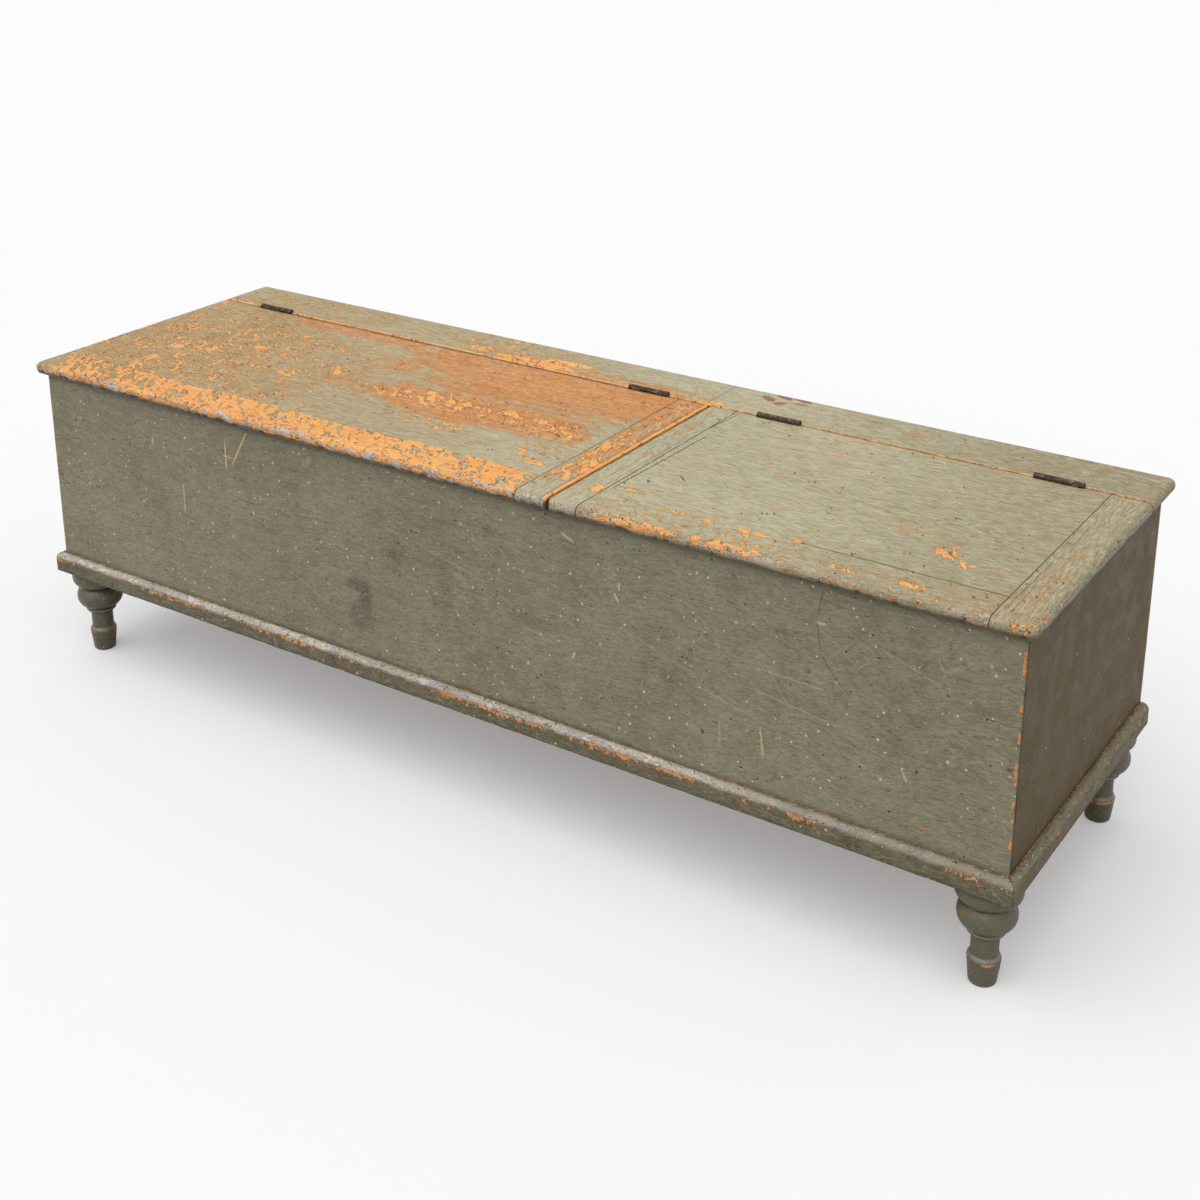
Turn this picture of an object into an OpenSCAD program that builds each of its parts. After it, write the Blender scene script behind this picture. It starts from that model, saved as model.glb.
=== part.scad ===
// Long storage trunk with two hinged lids, a fixed rear rail and four turned feet.
// Millimetres. Z is up, the front faces -Y, and the origin is on the floor under the middle of the top.

/* [Top] */
// Length of the top, end to end
top_length = 1830; // [1500:5:2200]
// Depth of the top, front to back
top_depth = 582; // [480:2:720]
// Thickness of the lids and of the rail
top_thickness = 22; // [20:1:28]
// Overhang of the top past each end of the case
end_overhang = 15; // [15:1:30]
// Overhang of the top past the front of the case
front_overhang = 18; // [16:1:30]
// Overhang of the rail past the back of the case
back_overhang = 20; // [12:1:30]
// Depth of the fixed rail behind the lids
rail_depth = 114; // [90:1:160]

/* [Lids] */
// Middle of the gap between the lids, right of the trunk's middle
lid_split = 186; // [-300:1:300]
// Gap between the two lids
lid_gap = 5; // [2:0.5:10]
// Gap between the lids and the rail
hinge_gap = 2; // [1.6:0.2:4]
// Gap under the lids, where they rest on the case
lid_rest_gap = 0.3; // [0.2:0.1:1]
// Width of the cleats at the outer ends of the lids
outer_cleat_width = 61; // [45:1:80]
// Width of the left lid's cleat beside the gap
left_inner_cleat_width = 55; // [40:1:80]
// Width of the right lid's cleat beside the gap
right_inner_cleat_width = 48; // [40:1:80]
// Depth of the narrow board along the front of each lid
lid_front_board_depth = 68; // [50:1:100]
// Length of the tongues that hold the cleats on
cleat_tongue_length = 14; // [8:1:20]
// Length of the tongue between the two boards of a lid
edge_tongue_length = 8; // [5:1:12]
// Thickness of all the tongues
tongue_thickness = 7; // [5:0.5:8]
// Distance from a cleat's ends to its groove
groove_stop = 24; // [16:1:30]
// Space left around a tongue in its groove
tongue_clearance = 0.25; // [0.1:0.05:0.5]

/* [Case] */
// Height of the four walls
wall_height = 379; // [300:1:480]
// Thickness of the four walls
wall_thickness = 20; // [18:1:26]
// Thickness of the lip that covers the end boards at each corner
corner_lip = 6; // [4:0.5:9]
// Thickness of the divider
divider_thickness = 18; // [14:1:24]
// Depth of the grooves that hold the divider
divider_groove = 6; // [4:0.5:9]
// Space left on each side of the divider in its grooves
divider_clearance = 0.2; // [0.1:0.05:0.5]
// Thickness of the bottom boards
bottom_thickness = 18; // [14:1:24]
// Gap between neighbouring bottom boards
bottom_gap = 0.6; // [0.2:0.1:0.9]
// Thickness of the battens under the bottom boards
batten_thickness = 38; // [36:1:50]
// Width of the battens that carry the feet
foot_batten_width = 92; // [80:1:140]
// Width of the batten under the divider
middle_batten_width = 70; // [60:1:120]

/* [Base moulding] */
// Height of the moulding round the base
moulding_height = 34; // [30:1:50]
// Distance that the moulding stands out from the case
moulding_projection = 14; // [12:0.5:15]
// Radius of the moulding's rounded upper edge
moulding_round = 10; // [6:0.5:11]

/* [Feet] */
// Height of a foot below the case
foot_height = 162; // [150:1:200]
// Distance of a foot's axis from the case's outer faces
foot_inset = 38; // [36:1:60]
// Radius of the flared collar under the case
collar_radius = 47; // [42:0.5:50]
// Height of the collar
collar_height = 31.5; // [26:0.5:36]
// Radius of the collar's rounded underside
collar_round = 15.5; // [10:0.5:17]
// Largest radius of the ball
ball_radius = 41.5; // [38:0.5:46]
// Radius of the curve down the side of the ball
ball_curve = 24.5; // [23.5:0.5:28]
// Radius of the ball where it meets the groove under the collar
ball_seat_radius = 33.5; // [28:0.5:36]
// Radius of the ball where it meets the thin ring
ball_base_radius = 25; // [24:0.5:28]
// Width of the groove between the collar and the ball
ball_groove = 3; // [2:0.5:4]
// Depth of the grooves above and below the ball
groove_depth = 1.5; // [1:0.5:3]
// Largest radius of the thin ring under the ball
ring_radius = 27.5; // [26:0.5:31]
// Height of the thin ring
ring_height = 7; // [6:0.5:10]
// Radius of the neck
neck_radius = 19.9; // [17:0.1:21]
// Height of the peg's widest edge above the floor
peg_height = 37.5; // [30:0.5:45]
// Largest radius of the peg
peg_radius = 24; // [23:0.1:26]
// Radius of the curve of the shoulder above the peg's widest edge
peg_shoulder = 10; // [9.5:0.5:14]
// Radius of the peg near the floor
peg_foot_radius = 20.3; // [18:0.1:21]
// Radius of the peg's rounded lower edge
peg_round = 4; // [2:0.5:6]
// Radius of the round tenon on top of a foot
tenon_radius = 12; // [8:0.5:13]
// Length of the tenon
tenon_length = 30; // [20:1:32]
// Space left around the tenon in its bore
tenon_clearance = 0.15; // [0.05:0.05:0.4]

/* [Hinges] */
// Length of a hinge
hinge_length = 76; // [60:1:100]
// Middle of the outer hinges, from the ends of the top
outer_hinge_inset = 140; // [125:1:200]
// Middle of the left lid's inner hinge, from that lid's edge beside the gap
left_inner_hinge_inset = 116; // [112:1:180]
// Middle of the right lid's inner hinge, from that lid's edge beside the gap
right_inner_hinge_inset = 124; // [112:1:180]
// Number of knuckles in a hinge
knuckle_count = 5; // [3:2:7]
// Radius of the knuckles
knuckle_radius = 5.3; // [4.5:0.1:6.5]
// Height of the hinge axis above the top
axis_rise = 1.5; // [1:0.1:3]
// Space between neighbouring knuckles
knuckle_clearance = 0.3; // [0.2:0.05:0.6]
// Radius of a hinge pin
pin_radius = 2.3; // [1.8:0.1:2.8]
// Running clearance round a hinge pin
pin_clearance = 0.05; // [0.02:0.01:0.1]
// Thickness of a leaf
leaf_thickness = 2.4; // [2:0.1:3]
// Height of a leaf below the top
leaf_height = 18.5; // [14:0.5:19]
// Space between the two closed leaves
leaf_gap = 0.4; // [0.2:0.1:0.8]
// Space left round a leaf in its recess
leaf_clearance = 0.2; // [0.1:0.05:0.4]
// Space left round the knuckles in the wood
knuckle_room = 0.6; // [0.4:0.1:1.5]

/* [Screws] */
// Number of screws in a leaf
screws_per_leaf = 3; // [2:1:4]
// Distance of the end screws from a leaf's ends
screw_inset = 12; // [8:1:16]
// Length of a screw
screw_length = 24; // [16:1:30]
// Radius of a screw's shank
screw_radius = 2; // [1.5:0.1:2.4]
// Radius of a screw's head
screw_head_radius = 3.7; // [3:0.1:4.5]
// Height of a screw's head
screw_head_height = 1.9; // [1.5:0.1:2]
// Length of a screw's point
screw_point = 5; // [3:0.5:8]
// Radius of a screw's blunt tip
screw_tip_radius = 0.5; // [0.3:0.1:1]
// Width of the slot in a screw's head
screw_slot_width = 0.9; // [0.6:0.1:1.2]
// Depth of the slot in a screw's head
screw_slot_depth = 0.7; // [0.4:0.1:1]
// Space left round a screw
screw_clearance = 0.1; // [0.05:0.05:0.3]

/* [Nails] */
// Wide side of a cut nail's shank
nail_width = 3.4; // [2.5:0.1:4]
// Narrow side of a cut nail's shank
nail_thickness = 2.2; // [1.5:0.1:3]
// Wide side of a nail's head
nail_head_width = 7; // [5:0.5:9]
// Narrow side of a nail's head
nail_head_thickness = 4.6; // [3.5:0.1:6]
// Height of a nail's head, which lies flush with the wood
nail_head_height = 1.2; // [0.8:0.1:2]
// Space left round a nail
nail_clearance = 0.1; // [0.05:0.05:0.2]
// Length of the nails through the corners
corner_nail_length = 46; // [35:1:60]
// Number of nails up each corner
corner_nail_count = 5; // [3:1:7]
// Length of the nails through the rail
rail_nail_length = 54; // [45:1:70]
// Number of nails along the rail
rail_nail_count = 7; // [4:1:10]
// Number of nails through each end of the rail
rail_end_nail_count = 2; // [2:1:3]
// Length of the nails through the base moulding
moulding_nail_length = 30; // [24:1:31]
// Number of nails along the front moulding
front_moulding_nail_count = 8; // [5:1:12]
// Number of nails along each side moulding
side_moulding_nail_count = 3; // [2:1:5]
// Length of the nails through the bottom boards and into their edges
bottom_nail_length = 44; // [36:1:50]
// Number of nails along the front and back edges of the bottom
bottom_nail_count = 6; // [4:1:9]
// Length of the nails through the walls into the battens
batten_nail_length = 48; // [40:1:52]
// Number of nails through each end board into its batten
end_batten_nail_count = 3; // [2:1:5]
// Distance of the middle batten's nails from its middle
middle_batten_nail_reach = 17; // [10:1:25]
// Length of the nails through the walls into the divider
divider_nail_length = 50; // [40:1:60]
// Number of nails up each edge of the divider
divider_nail_count = 3; // [2:1:5]
// Length of the nails through the cleats
cleat_nail_length = 18; // [12:1:19]
// Number of nails in a cleat, behind the front board
cleat_nail_count = 3; // [2:1:5]

/* [Hidden] */

$fn = 64;
// Extra length of a cutting shape past the face that it cuts
past = 1;

// Levels above the floor
case_base = foot_height;
case_top = case_base + wall_height;
top_z = case_top + top_thickness;
axis_z = top_z + axis_rise;
batten_top = case_base + batten_thickness;
bottom_top = batten_top + bottom_thickness;

// Outer and inner faces of the case and of the top
top_end = top_length / 2;
top_front = -top_depth / 2;
top_back = top_depth / 2;
edge_radius = top_thickness / 2;
case_end = top_end - end_overhang;
case_front = top_front + front_overhang;
case_back = top_back - back_overhang;
inner_end = case_end - wall_thickness;
inner_front = case_front + wall_thickness;
inner_back = case_back - wall_thickness;
inner_depth = inner_back - inner_front;
moulding_end = case_end + moulding_projection;
moulding_front = case_front - moulding_projection;

// Line of the hinge axis and the lids' edges
axis_y = top_back - rail_depth - hinge_gap / 2;
lid_back = axis_y - hinge_gap / 2;
rail_front = axis_y + hinge_gap / 2;
lid_seam = top_front + lid_front_board_depth;
left_lid_edge = lid_split - lid_gap / 2;
right_lid_edge = lid_split + lid_gap / 2;
left_outer_seam = -top_end + outer_cleat_width;
left_inner_seam = left_lid_edge - left_inner_cleat_width;
right_inner_seam = right_lid_edge + right_inner_cleat_width;
right_outer_seam = top_end - outer_cleat_width;
tongue_z = case_top + (top_thickness - tongue_thickness) / 2;

// Middles of the hinges along the top
left_outer_hinge = -top_end + outer_hinge_inset;
left_inner_hinge = left_lid_edge - left_inner_hinge_inset;
right_inner_hinge = right_lid_edge + right_inner_hinge_inset;
right_outer_hinge = top_end - outer_hinge_inset;
LEFT_HINGES = [left_outer_hinge, left_inner_hinge];
RIGHT_HINGES = [right_inner_hinge, right_outer_hinge];
ALL_HINGES = concat(LEFT_HINGES, RIGHT_HINGES);
knuckle_pitch = hinge_length / knuckle_count;

// Heights of the parts of a foot
function rise(radius, reach) = sqrt(radius * radius - reach * reach);
collar_base = foot_height - collar_height;
ball_centre = ball_radius - ball_curve;
ball_middle = collar_base - ball_groove - rise(ball_curve, ball_seat_radius - ball_centre);
ball_base = ball_middle - rise(ball_curve, ball_base_radius - ball_centre);
ring_middle = ball_base - ring_height / 2;
foot_x = case_end - foot_inset;
foot_front_y = case_front + foot_inset;
foot_back_y = case_back - foot_inset;

// Ends of the arcs in a foot's outline, in degrees from the level
ring_angle = 80;
collar_angle = 75;
// Straight steps along the small, middle and large arcs
small_arc_steps = 6;
middle_arc_steps = 10;
large_arc_steps = 20;

// Distances of the nails from edges
nail_edge = 12;
corner_nail_end = 55;
side_nail_end = 70;
long_nail_end = 110;
batten_nail_level = case_base + 25;
moulding_nail_level = case_base + nail_edge;
wall_middle = wall_thickness / 2;

// Evenly spaced places from one value to another
function spaced(count, first, last) = [for (i = [0:count - 1]) first + (last - first) * i / (count - 1)];

// Points along an arc about a centre, from one angle to another
function arc(centre, radius, first, last, steps) = [
    for (a = spaced(steps + 1, first, last)) centre + radius * [cos(a), sin(a)]
];

// Box between two opposite corners
module block(low, high) {
    translate(low) cube(high - low);
}

// Cut nail driven down, with its head flush at the origin; grown makes its hole
module nail(length, grown = 0) {
    shank = [nail_width + 2 * grown, nail_thickness + 2 * grown];
    head = [nail_head_width + 2 * grown, nail_head_thickness + 2 * grown];
    above = grown > 0 ? past : 0;
    block([-shank[0] / 2, -shank[1] / 2, -length - grown], [shank[0] / 2, shank[1] / 2, 0]);
    block([-head[0] / 2, -head[1] / 2, -nail_head_height - grown], [head[0] / 2, head[1] / 2, above]);
}

// Nails at a list of places, all turned one way
module nails(places, turn, length, grown = 0) {
    for (place = places) translate(place) rotate(turn) nail(length, grown);
}

// Turns of a nail: driven down, to the back, to the front, to the right and to the left
DOWN = [0, 0, 0];
BACKWARD = [90, 0, 0];
FORWARD = [-90, 0, 0];
RIGHTWARD = [0, -90, 0];
LEFTWARD = [0, 90, 0];

corner_levels = spaced(corner_nail_count, case_base + corner_nail_end, case_top - corner_nail_end);
front_corner_places = [for (s = [-1, 1], z = corner_levels) [s * (case_end - wall_middle), case_front, z]];
back_corner_places = [for (s = [-1, 1], z = corner_levels) [s * (case_end - wall_middle), case_back, z]];

rail_row_places = [
    for (x = spaced(rail_nail_count, -case_end + long_nail_end, case_end - long_nail_end))
        [x, case_back - wall_middle, top_z]
];
rail_end_places = [
    for (s = [-1, 1], y = spaced(rail_end_nail_count, rail_front + nail_edge, inner_back - nail_edge))
        [s * (case_end - wall_middle), y, top_z]
];

front_moulding_places = [
    for (x = spaced(front_moulding_nail_count, -case_end + nail_edge, case_end - nail_edge))
        [x, moulding_front, moulding_nail_level]
];
side_moulding_rows = spaced(side_moulding_nail_count, case_front + side_nail_end, case_back - side_nail_end);
left_moulding_places = [for (y = side_moulding_rows) [-moulding_end, y, moulding_nail_level]];
right_moulding_places = [for (y = side_moulding_rows) [moulding_end, y, moulding_nail_level]];

// Share of a bottom board's depth from its edge to its nails
nail_share = 0.3;
bottom_board_count = 3;
bottom_board_depth = (inner_depth - (bottom_board_count - 1) * bottom_gap) / bottom_board_count;
bottom_rows = [for (i = [0:bottom_board_count - 1]) inner_front + i * (bottom_board_depth + bottom_gap)];
bottom_level = batten_top + bottom_thickness / 2;
bottom_edge_x = spaced(bottom_nail_count, -inner_end + long_nail_end, inner_end - long_nail_end);
front_bottom_places = [for (x = bottom_edge_x) [x, case_front, bottom_level]];
back_bottom_places = [for (x = bottom_edge_x) [x, case_back, bottom_level]];
left_bottom_places = [for (y = bottom_rows) [-case_end, y + bottom_board_depth / 2, bottom_level]];
right_bottom_places = [for (y = bottom_rows) [case_end, y + bottom_board_depth / 2, bottom_level]];
batten_middles = [-inner_end + foot_batten_width / 2, lid_split, inner_end - foot_batten_width / 2];
bottom_board_places = [
    for (x = batten_middles, y = bottom_rows, share = [nail_share, 1 - nail_share])
        [x, y + share * bottom_board_depth, bottom_top]
];

batten_rows = spaced(end_batten_nail_count, inner_front + long_nail_end, inner_back - long_nail_end);
left_batten_places = [for (y = batten_rows) [-case_end, y, batten_nail_level]];
right_batten_places = [for (y = batten_rows) [case_end, y, batten_nail_level]];
middle_batten_x = [lid_split - middle_batten_nail_reach, lid_split + middle_batten_nail_reach];
front_batten_places = [for (x = middle_batten_x) [x, case_front, batten_nail_level]];
back_batten_places = [for (x = middle_batten_x) [x, case_back, batten_nail_level]];

divider_levels = spaced(divider_nail_count, bottom_top + corner_nail_end, case_top - corner_nail_end);
front_divider_places = [for (z = divider_levels) [lid_split, case_front, z]];
back_divider_places = [for (z = divider_levels) [lid_split, case_back, z]];

// Places of the nails in a cleat whose seam is at x; side is the way from the seam to the cleat
function cleat_places(x, side) = [
    for (y = concat([(top_front + groove_stop + lid_seam - edge_tongue_length) / 2],
                    spaced(cleat_nail_count, lid_seam + 2 * groove_stop, lid_back - 2 * groove_stop)))
        [x + side * cleat_tongue_length / 2, y, top_z]
];
left_cleat_places = concat(cleat_places(left_outer_seam, -1), cleat_places(left_inner_seam, 1));
right_cleat_places = concat(cleat_places(right_inner_seam, -1), cleat_places(right_outer_seam, 1));

// Colours of the boards and of the iron
TOP_GREEN = [0.55, 0.56, 0.44];
CASE_GREEN = [0.40, 0.40, 0.32];
MOULDING_GREEN = [0.46, 0.45, 0.36];
BARE_PINE = [0.72, 0.50, 0.28];
IRON = [0.20, 0.15, 0.13];

// Front or back wall; side is -1 for the front. Its rabbets take the end boards
module long_wall(side) {
    outer = side < 0 ? case_front : case_back;
    inner = side < 0 ? inner_front : inner_back;
    rabbet = outer - side * corner_lip;
    groove = inner + side * divider_groove;
    groove_half = divider_thickness / 2 + divider_clearance;
    difference() {
        block([-case_end, min(outer, inner), case_base], [case_end, max(outer, inner), case_top]);
        for (s = [-1, 1])
            block(
                [s < 0 ? -case_end - past : inner_end, min(rabbet, inner - side * past), case_base - past],
                [s < 0 ? -inner_end : case_end + past, max(rabbet, inner - side * past), case_top + past]
            );
        block(
            [lid_split - groove_half, min(groove, inner - side * past), bottom_top],
            [lid_split + groove_half, max(groove, inner - side * past), case_top + past]
        );
        children();
    }
}

module front_board() {
    color(CASE_GREEN) long_wall(-1) {
        nails(front_corner_places, BACKWARD, corner_nail_length, nail_clearance);
        nails(front_bottom_places, BACKWARD, bottom_nail_length, nail_clearance);
        nails(front_batten_places, BACKWARD, batten_nail_length, nail_clearance);
        nails(front_divider_places, BACKWARD, divider_nail_length, nail_clearance);
        nails(front_moulding_places, BACKWARD, moulding_nail_length, nail_clearance);
    }
}

module back_board() {
    color(CASE_GREEN) long_wall(1) {
        nails(back_corner_places, FORWARD, corner_nail_length, nail_clearance);
        nails(back_bottom_places, FORWARD, bottom_nail_length, nail_clearance);
        nails(back_batten_places, FORWARD, batten_nail_length, nail_clearance);
        nails(back_divider_places, FORWARD, divider_nail_length, nail_clearance);
        nails(rail_row_places, DOWN, rail_nail_length, nail_clearance);
    }
}

// End wall; side is -1 for the left
module end_wall(side) {
    difference() {
        block(
            [side < 0 ? -case_end : inner_end, case_front + corner_lip, case_base],
            [side < 0 ? -inner_end : case_end, case_back - corner_lip, case_top]
        );
        nails(front_corner_places, BACKWARD, corner_nail_length, nail_clearance);
        nails(back_corner_places, FORWARD, corner_nail_length, nail_clearance);
        nails(rail_end_places, DOWN, rail_nail_length, nail_clearance);
        nails(front_moulding_places, BACKWARD, moulding_nail_length, nail_clearance);
        children();
    }
}

module left_end_board() {
    color(CASE_GREEN) end_wall(-1) {
        nails(left_bottom_places, RIGHTWARD, bottom_nail_length, nail_clearance);
        nails(left_batten_places, RIGHTWARD, batten_nail_length, nail_clearance);
        nails(left_moulding_places, RIGHTWARD, moulding_nail_length, nail_clearance);
    }
}

module right_end_board() {
    color(CASE_GREEN) end_wall(1) {
        nails(right_bottom_places, LEFTWARD, bottom_nail_length, nail_clearance);
        nails(right_batten_places, LEFTWARD, batten_nail_length, nail_clearance);
        nails(right_moulding_places, LEFTWARD, moulding_nail_length, nail_clearance);
    }
}

module divider_board() {
    color(BARE_PINE) difference() {
        block(
            [lid_split - divider_thickness / 2, inner_front - divider_groove + divider_clearance, bottom_top],
            [lid_split + divider_thickness / 2, inner_back + divider_groove - divider_clearance, case_top]
        );
        nails(front_divider_places, BACKWARD, divider_nail_length, nail_clearance);
        nails(back_divider_places, FORWARD, divider_nail_length, nail_clearance);
    }
}

// One bottom board, counted from the front
module bottom_board(row) {
    color(BARE_PINE) difference() {
        block(
            [-inner_end, bottom_rows[row], batten_top],
            [inner_end, bottom_rows[row] + bottom_board_depth, bottom_top]
        );
        nails(front_bottom_places, BACKWARD, bottom_nail_length, nail_clearance);
        nails(back_bottom_places, FORWARD, bottom_nail_length, nail_clearance);
        nails(left_bottom_places, RIGHTWARD, bottom_nail_length, nail_clearance);
        nails(right_bottom_places, LEFTWARD, bottom_nail_length, nail_clearance);
        nails(bottom_board_places, DOWN, bottom_nail_length, nail_clearance);
    }
}

module front_bottom_board() {
    bottom_board(0);
}

module middle_bottom_board() {
    bottom_board(1);
}

module rear_bottom_board() {
    bottom_board(2);
}

// Batten across the case from the front wall to the back wall
module batten(low_x, high_x) {
    color(BARE_PINE) difference() {
        block([low_x, inner_front, case_base], [high_x, inner_back, batten_top]);
        nails(bottom_board_places, DOWN, bottom_nail_length, nail_clearance);
        children();
    }
}

// Bores for the tenons of the two feet at one end
module tenon_bores(side) {
    for (y = [foot_front_y, foot_back_y])
        translate([side * foot_x, y, case_base - past])
            cylinder(r = tenon_radius + tenon_clearance, h = tenon_length + tenon_clearance + past);
}

module left_foot_batten() {
    batten(-inner_end, -inner_end + foot_batten_width) {
        tenon_bores(-1);
        nails(left_batten_places, RIGHTWARD, batten_nail_length, nail_clearance);
    }
}

module right_foot_batten() {
    batten(inner_end - foot_batten_width, inner_end) {
        tenon_bores(1);
        nails(right_batten_places, LEFTWARD, batten_nail_length, nail_clearance);
    }
}

module middle_batten() {
    batten(lid_split - middle_batten_width / 2, lid_split + middle_batten_width / 2) {
        nails(front_batten_places, BACKWARD, batten_nail_length, nail_clearance);
        nails(back_batten_places, FORWARD, batten_nail_length, nail_clearance);
    }
}

// Section of the base moulding, standing out along X from the wall
module moulding_section() {
    square([moulding_projection, moulding_height - moulding_round]);
    square([moulding_projection - moulding_round, moulding_height]);
    translate([moulding_projection - moulding_round, moulding_height - moulding_round])
        circle(r = moulding_round);
}

module front_base_moulding() {
    color(MOULDING_GREEN) difference() {
        intersection() {
            translate([-moulding_end, case_front, case_base])
                rotate([90, 0, 90])
                    mirror([1, 0, 0])
                        linear_extrude(2 * moulding_end) moulding_section();
            translate([0, 0, case_base - past])
                linear_extrude(moulding_height + 2 * past)
                    polygon([
                        [-case_end, case_front],
                        [case_end, case_front],
                        [moulding_end, moulding_front],
                        [-moulding_end, moulding_front]
                    ]);
        }
        nails(front_moulding_places, BACKWARD, moulding_nail_length, nail_clearance);
    }
}

// Moulding along one end, mitred at the front and square at the back; side is -1 for the left
module side_moulding(side) {
    intersection() {
        translate([side * case_end, case_back, case_base])
            rotate([90, 0, 0])
                mirror([side < 0 ? 1 : 0, 0, 0])
                    linear_extrude(case_back - moulding_front) moulding_section();
        translate([0, 0, case_base - past])
            linear_extrude(moulding_height + 2 * past)
                polygon([
                    [side * case_end, case_front],
                    [side * moulding_end, moulding_front],
                    [side * moulding_end, case_back],
                    [side * case_end, case_back]
                ]);
    }
}

module left_base_moulding() {
    color(MOULDING_GREEN) difference() {
        side_moulding(-1);
        nails(left_moulding_places, RIGHTWARD, moulding_nail_length, nail_clearance);
    }
}

module right_base_moulding() {
    color(MOULDING_GREEN) difference() {
        side_moulding(1);
        nails(right_moulding_places, LEFTWARD, moulding_nail_length, nail_clearance);
    }
}

// Half outline of a turned foot, from the floor up to the tenon
module foot_outline() {
    ball_foot_angle = acos((ball_base_radius - ball_centre) / ball_curve);
    ball_seat_angle = acos((ball_seat_radius - ball_centre) / ball_curve);
    shoulder_centre = peg_radius - peg_shoulder;
    shoulder_angle = acos((neck_radius - shoulder_centre) / peg_shoulder);
    polygon(concat(
        [[0, 0]],
        arc([peg_foot_radius - peg_round, peg_round], peg_round, -90, 0, small_arc_steps),
        arc([shoulder_centre, peg_height], peg_shoulder, 0, shoulder_angle, small_arc_steps),
        [[neck_radius, ring_middle - ring_height / 2]],
        arc(
            [ring_radius - ring_height / 2, ring_middle], ring_height / 2,
            -ring_angle, ring_angle, middle_arc_steps
        ),
        [[ball_base_radius - groove_depth, ball_base]],
        arc([ball_centre, ball_middle], ball_curve, -ball_foot_angle, ball_seat_angle, large_arc_steps),
        [[ball_seat_radius - groove_depth, collar_base - ball_groove / 2]],
        arc(
            [collar_radius - collar_round, collar_base + collar_round], collar_round,
            -collar_angle, 0, middle_arc_steps
        ),
        [[collar_radius, foot_height], [tenon_radius, foot_height]],
        [[tenon_radius, foot_height + tenon_length], [0, foot_height + tenon_length]]
    ));
}

module foot(x, y) {
    color(CASE_GREEN) translate([x, y, 0]) rotate_extrude() foot_outline();
}

module front_left_foot() {
    foot(-foot_x, foot_front_y);
}

module front_right_foot() {
    foot(foot_x, foot_front_y);
}

module rear_left_foot() {
    foot(-foot_x, foot_back_y);
}

module rear_right_foot() {
    foot(foot_x, foot_back_y);
}

// Section of the top across one direction, with half-round edges
module top_section(width) {
    square([width - 2 * edge_radius, top_thickness], center = true);
    for (s = [-1, 1]) translate([s * (width / 2 - edge_radius), 0]) circle(r = edge_radius);
}

// Whole top as one slab, half-round along the front, the back and the ends
module top_slab() {
    translate([0, 0, case_top + edge_radius]) intersection() {
        rotate([90, 0, 90]) linear_extrude(top_length, center = true) top_section(top_depth);
        rotate([90, 0, 0]) linear_extrude(top_depth, center = true) top_section(top_length);
    }
}

// Piece of the top between two corners of the plan, down to the level given
module top_piece(low, high, level) {
    intersection() {
        top_slab();
        block([low[0], low[1], level], [high[0], high[1], top_z + past]);
    }
}

// Recesses for a hinge's leaf and knuckles; side is 1 in the rail and -1 in a lid
module hinge_recess(x, side) {
    near = axis_y - side * past;
    far = axis_y + side * (leaf_gap / 2 + leaf_thickness + leaf_clearance);
    half = hinge_length / 2 + leaf_clearance;
    block(
        [x - half, min(near, far), top_z - leaf_height - leaf_clearance],
        [x + half, max(near, far), top_z + past]
    );
    translate([x - half, axis_y, axis_z])
        rotate([0, 90, 0]) cylinder(r = knuckle_radius + knuckle_room, h = 2 * half);
    screws(x, side, screw_clearance);
}

module back_rail() {
    color(TOP_GREEN) difference() {
        top_piece([-top_end - past, rail_front], [top_end + past, top_back + past], case_top);
        for (x = ALL_HINGES) hinge_recess(x, 1);
        nails(rail_row_places, DOWN, rail_nail_length, nail_clearance);
        nails(rail_end_places, DOWN, rail_nail_length, nail_clearance);
    }
}

// Knuckles of one leaf, counted from the left; grown makes the room for them
module knuckles(x, first, radius, room) {
    for (i = [first:2:knuckle_count - 1])
        translate([x - hinge_length / 2 + i * knuckle_pitch - room, axis_y, axis_z])
            rotate([0, 90, 0]) cylinder(r = radius, h = knuckle_pitch + 2 * room);
}

// Leaf of a hinge; side is 1 for the rail's leaf, which has the end knuckles, and -1 for the lid's
module hinge_leaf(x, side) {
    near = axis_y + side * leaf_gap / 2;
    far = near + side * leaf_thickness;
    own = side > 0 ? 0 : 1;
    color(IRON) difference() {
        union() {
            block(
                [x - hinge_length / 2, min(near, far), top_z - leaf_height],
                [x + hinge_length / 2, max(near, far), axis_z]
            );
            knuckles(x, own, knuckle_radius, 0);
        }
        knuckles(x, 1 - own, knuckle_radius + knuckle_clearance, knuckle_clearance / 2);
        translate([x - hinge_length / 2 - past, axis_y, axis_z])
            rotate([0, 90, 0]) cylinder(r = pin_radius + pin_clearance, h = hinge_length + 2 * past);
        screws(x, side, screw_clearance);
    }
}

module hinge_pin(x) {
    color(IRON) translate([x - hinge_length / 2, axis_y, axis_z])
        rotate([0, 90, 0]) cylinder(r = pin_radius, h = hinge_length);
}

// Countersunk screw along +Y with its head's face at the origin; grown makes its hole
module screw(grown = 0) {
    shank = screw_length - screw_point;
    difference() {
        rotate([-90, 0, 0]) {
            cylinder(r = screw_radius + grown, h = shank);
            cylinder(r1 = screw_head_radius + grown, r2 = screw_radius + grown, h = screw_head_height);
            translate([0, 0, shank])
                cylinder(r1 = screw_radius + grown, r2 = screw_tip_radius + grown, h = screw_point);
        }
        if (grown == 0)
            block(
                [-screw_head_radius, -past, -screw_slot_width / 2],
                [screw_head_radius, screw_slot_depth, screw_slot_width / 2]
            );
    }
    if (grown > 0) rotate([90, 0, 0]) cylinder(r = screw_head_radius + grown, h = leaf_gap / 2);
}

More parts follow.
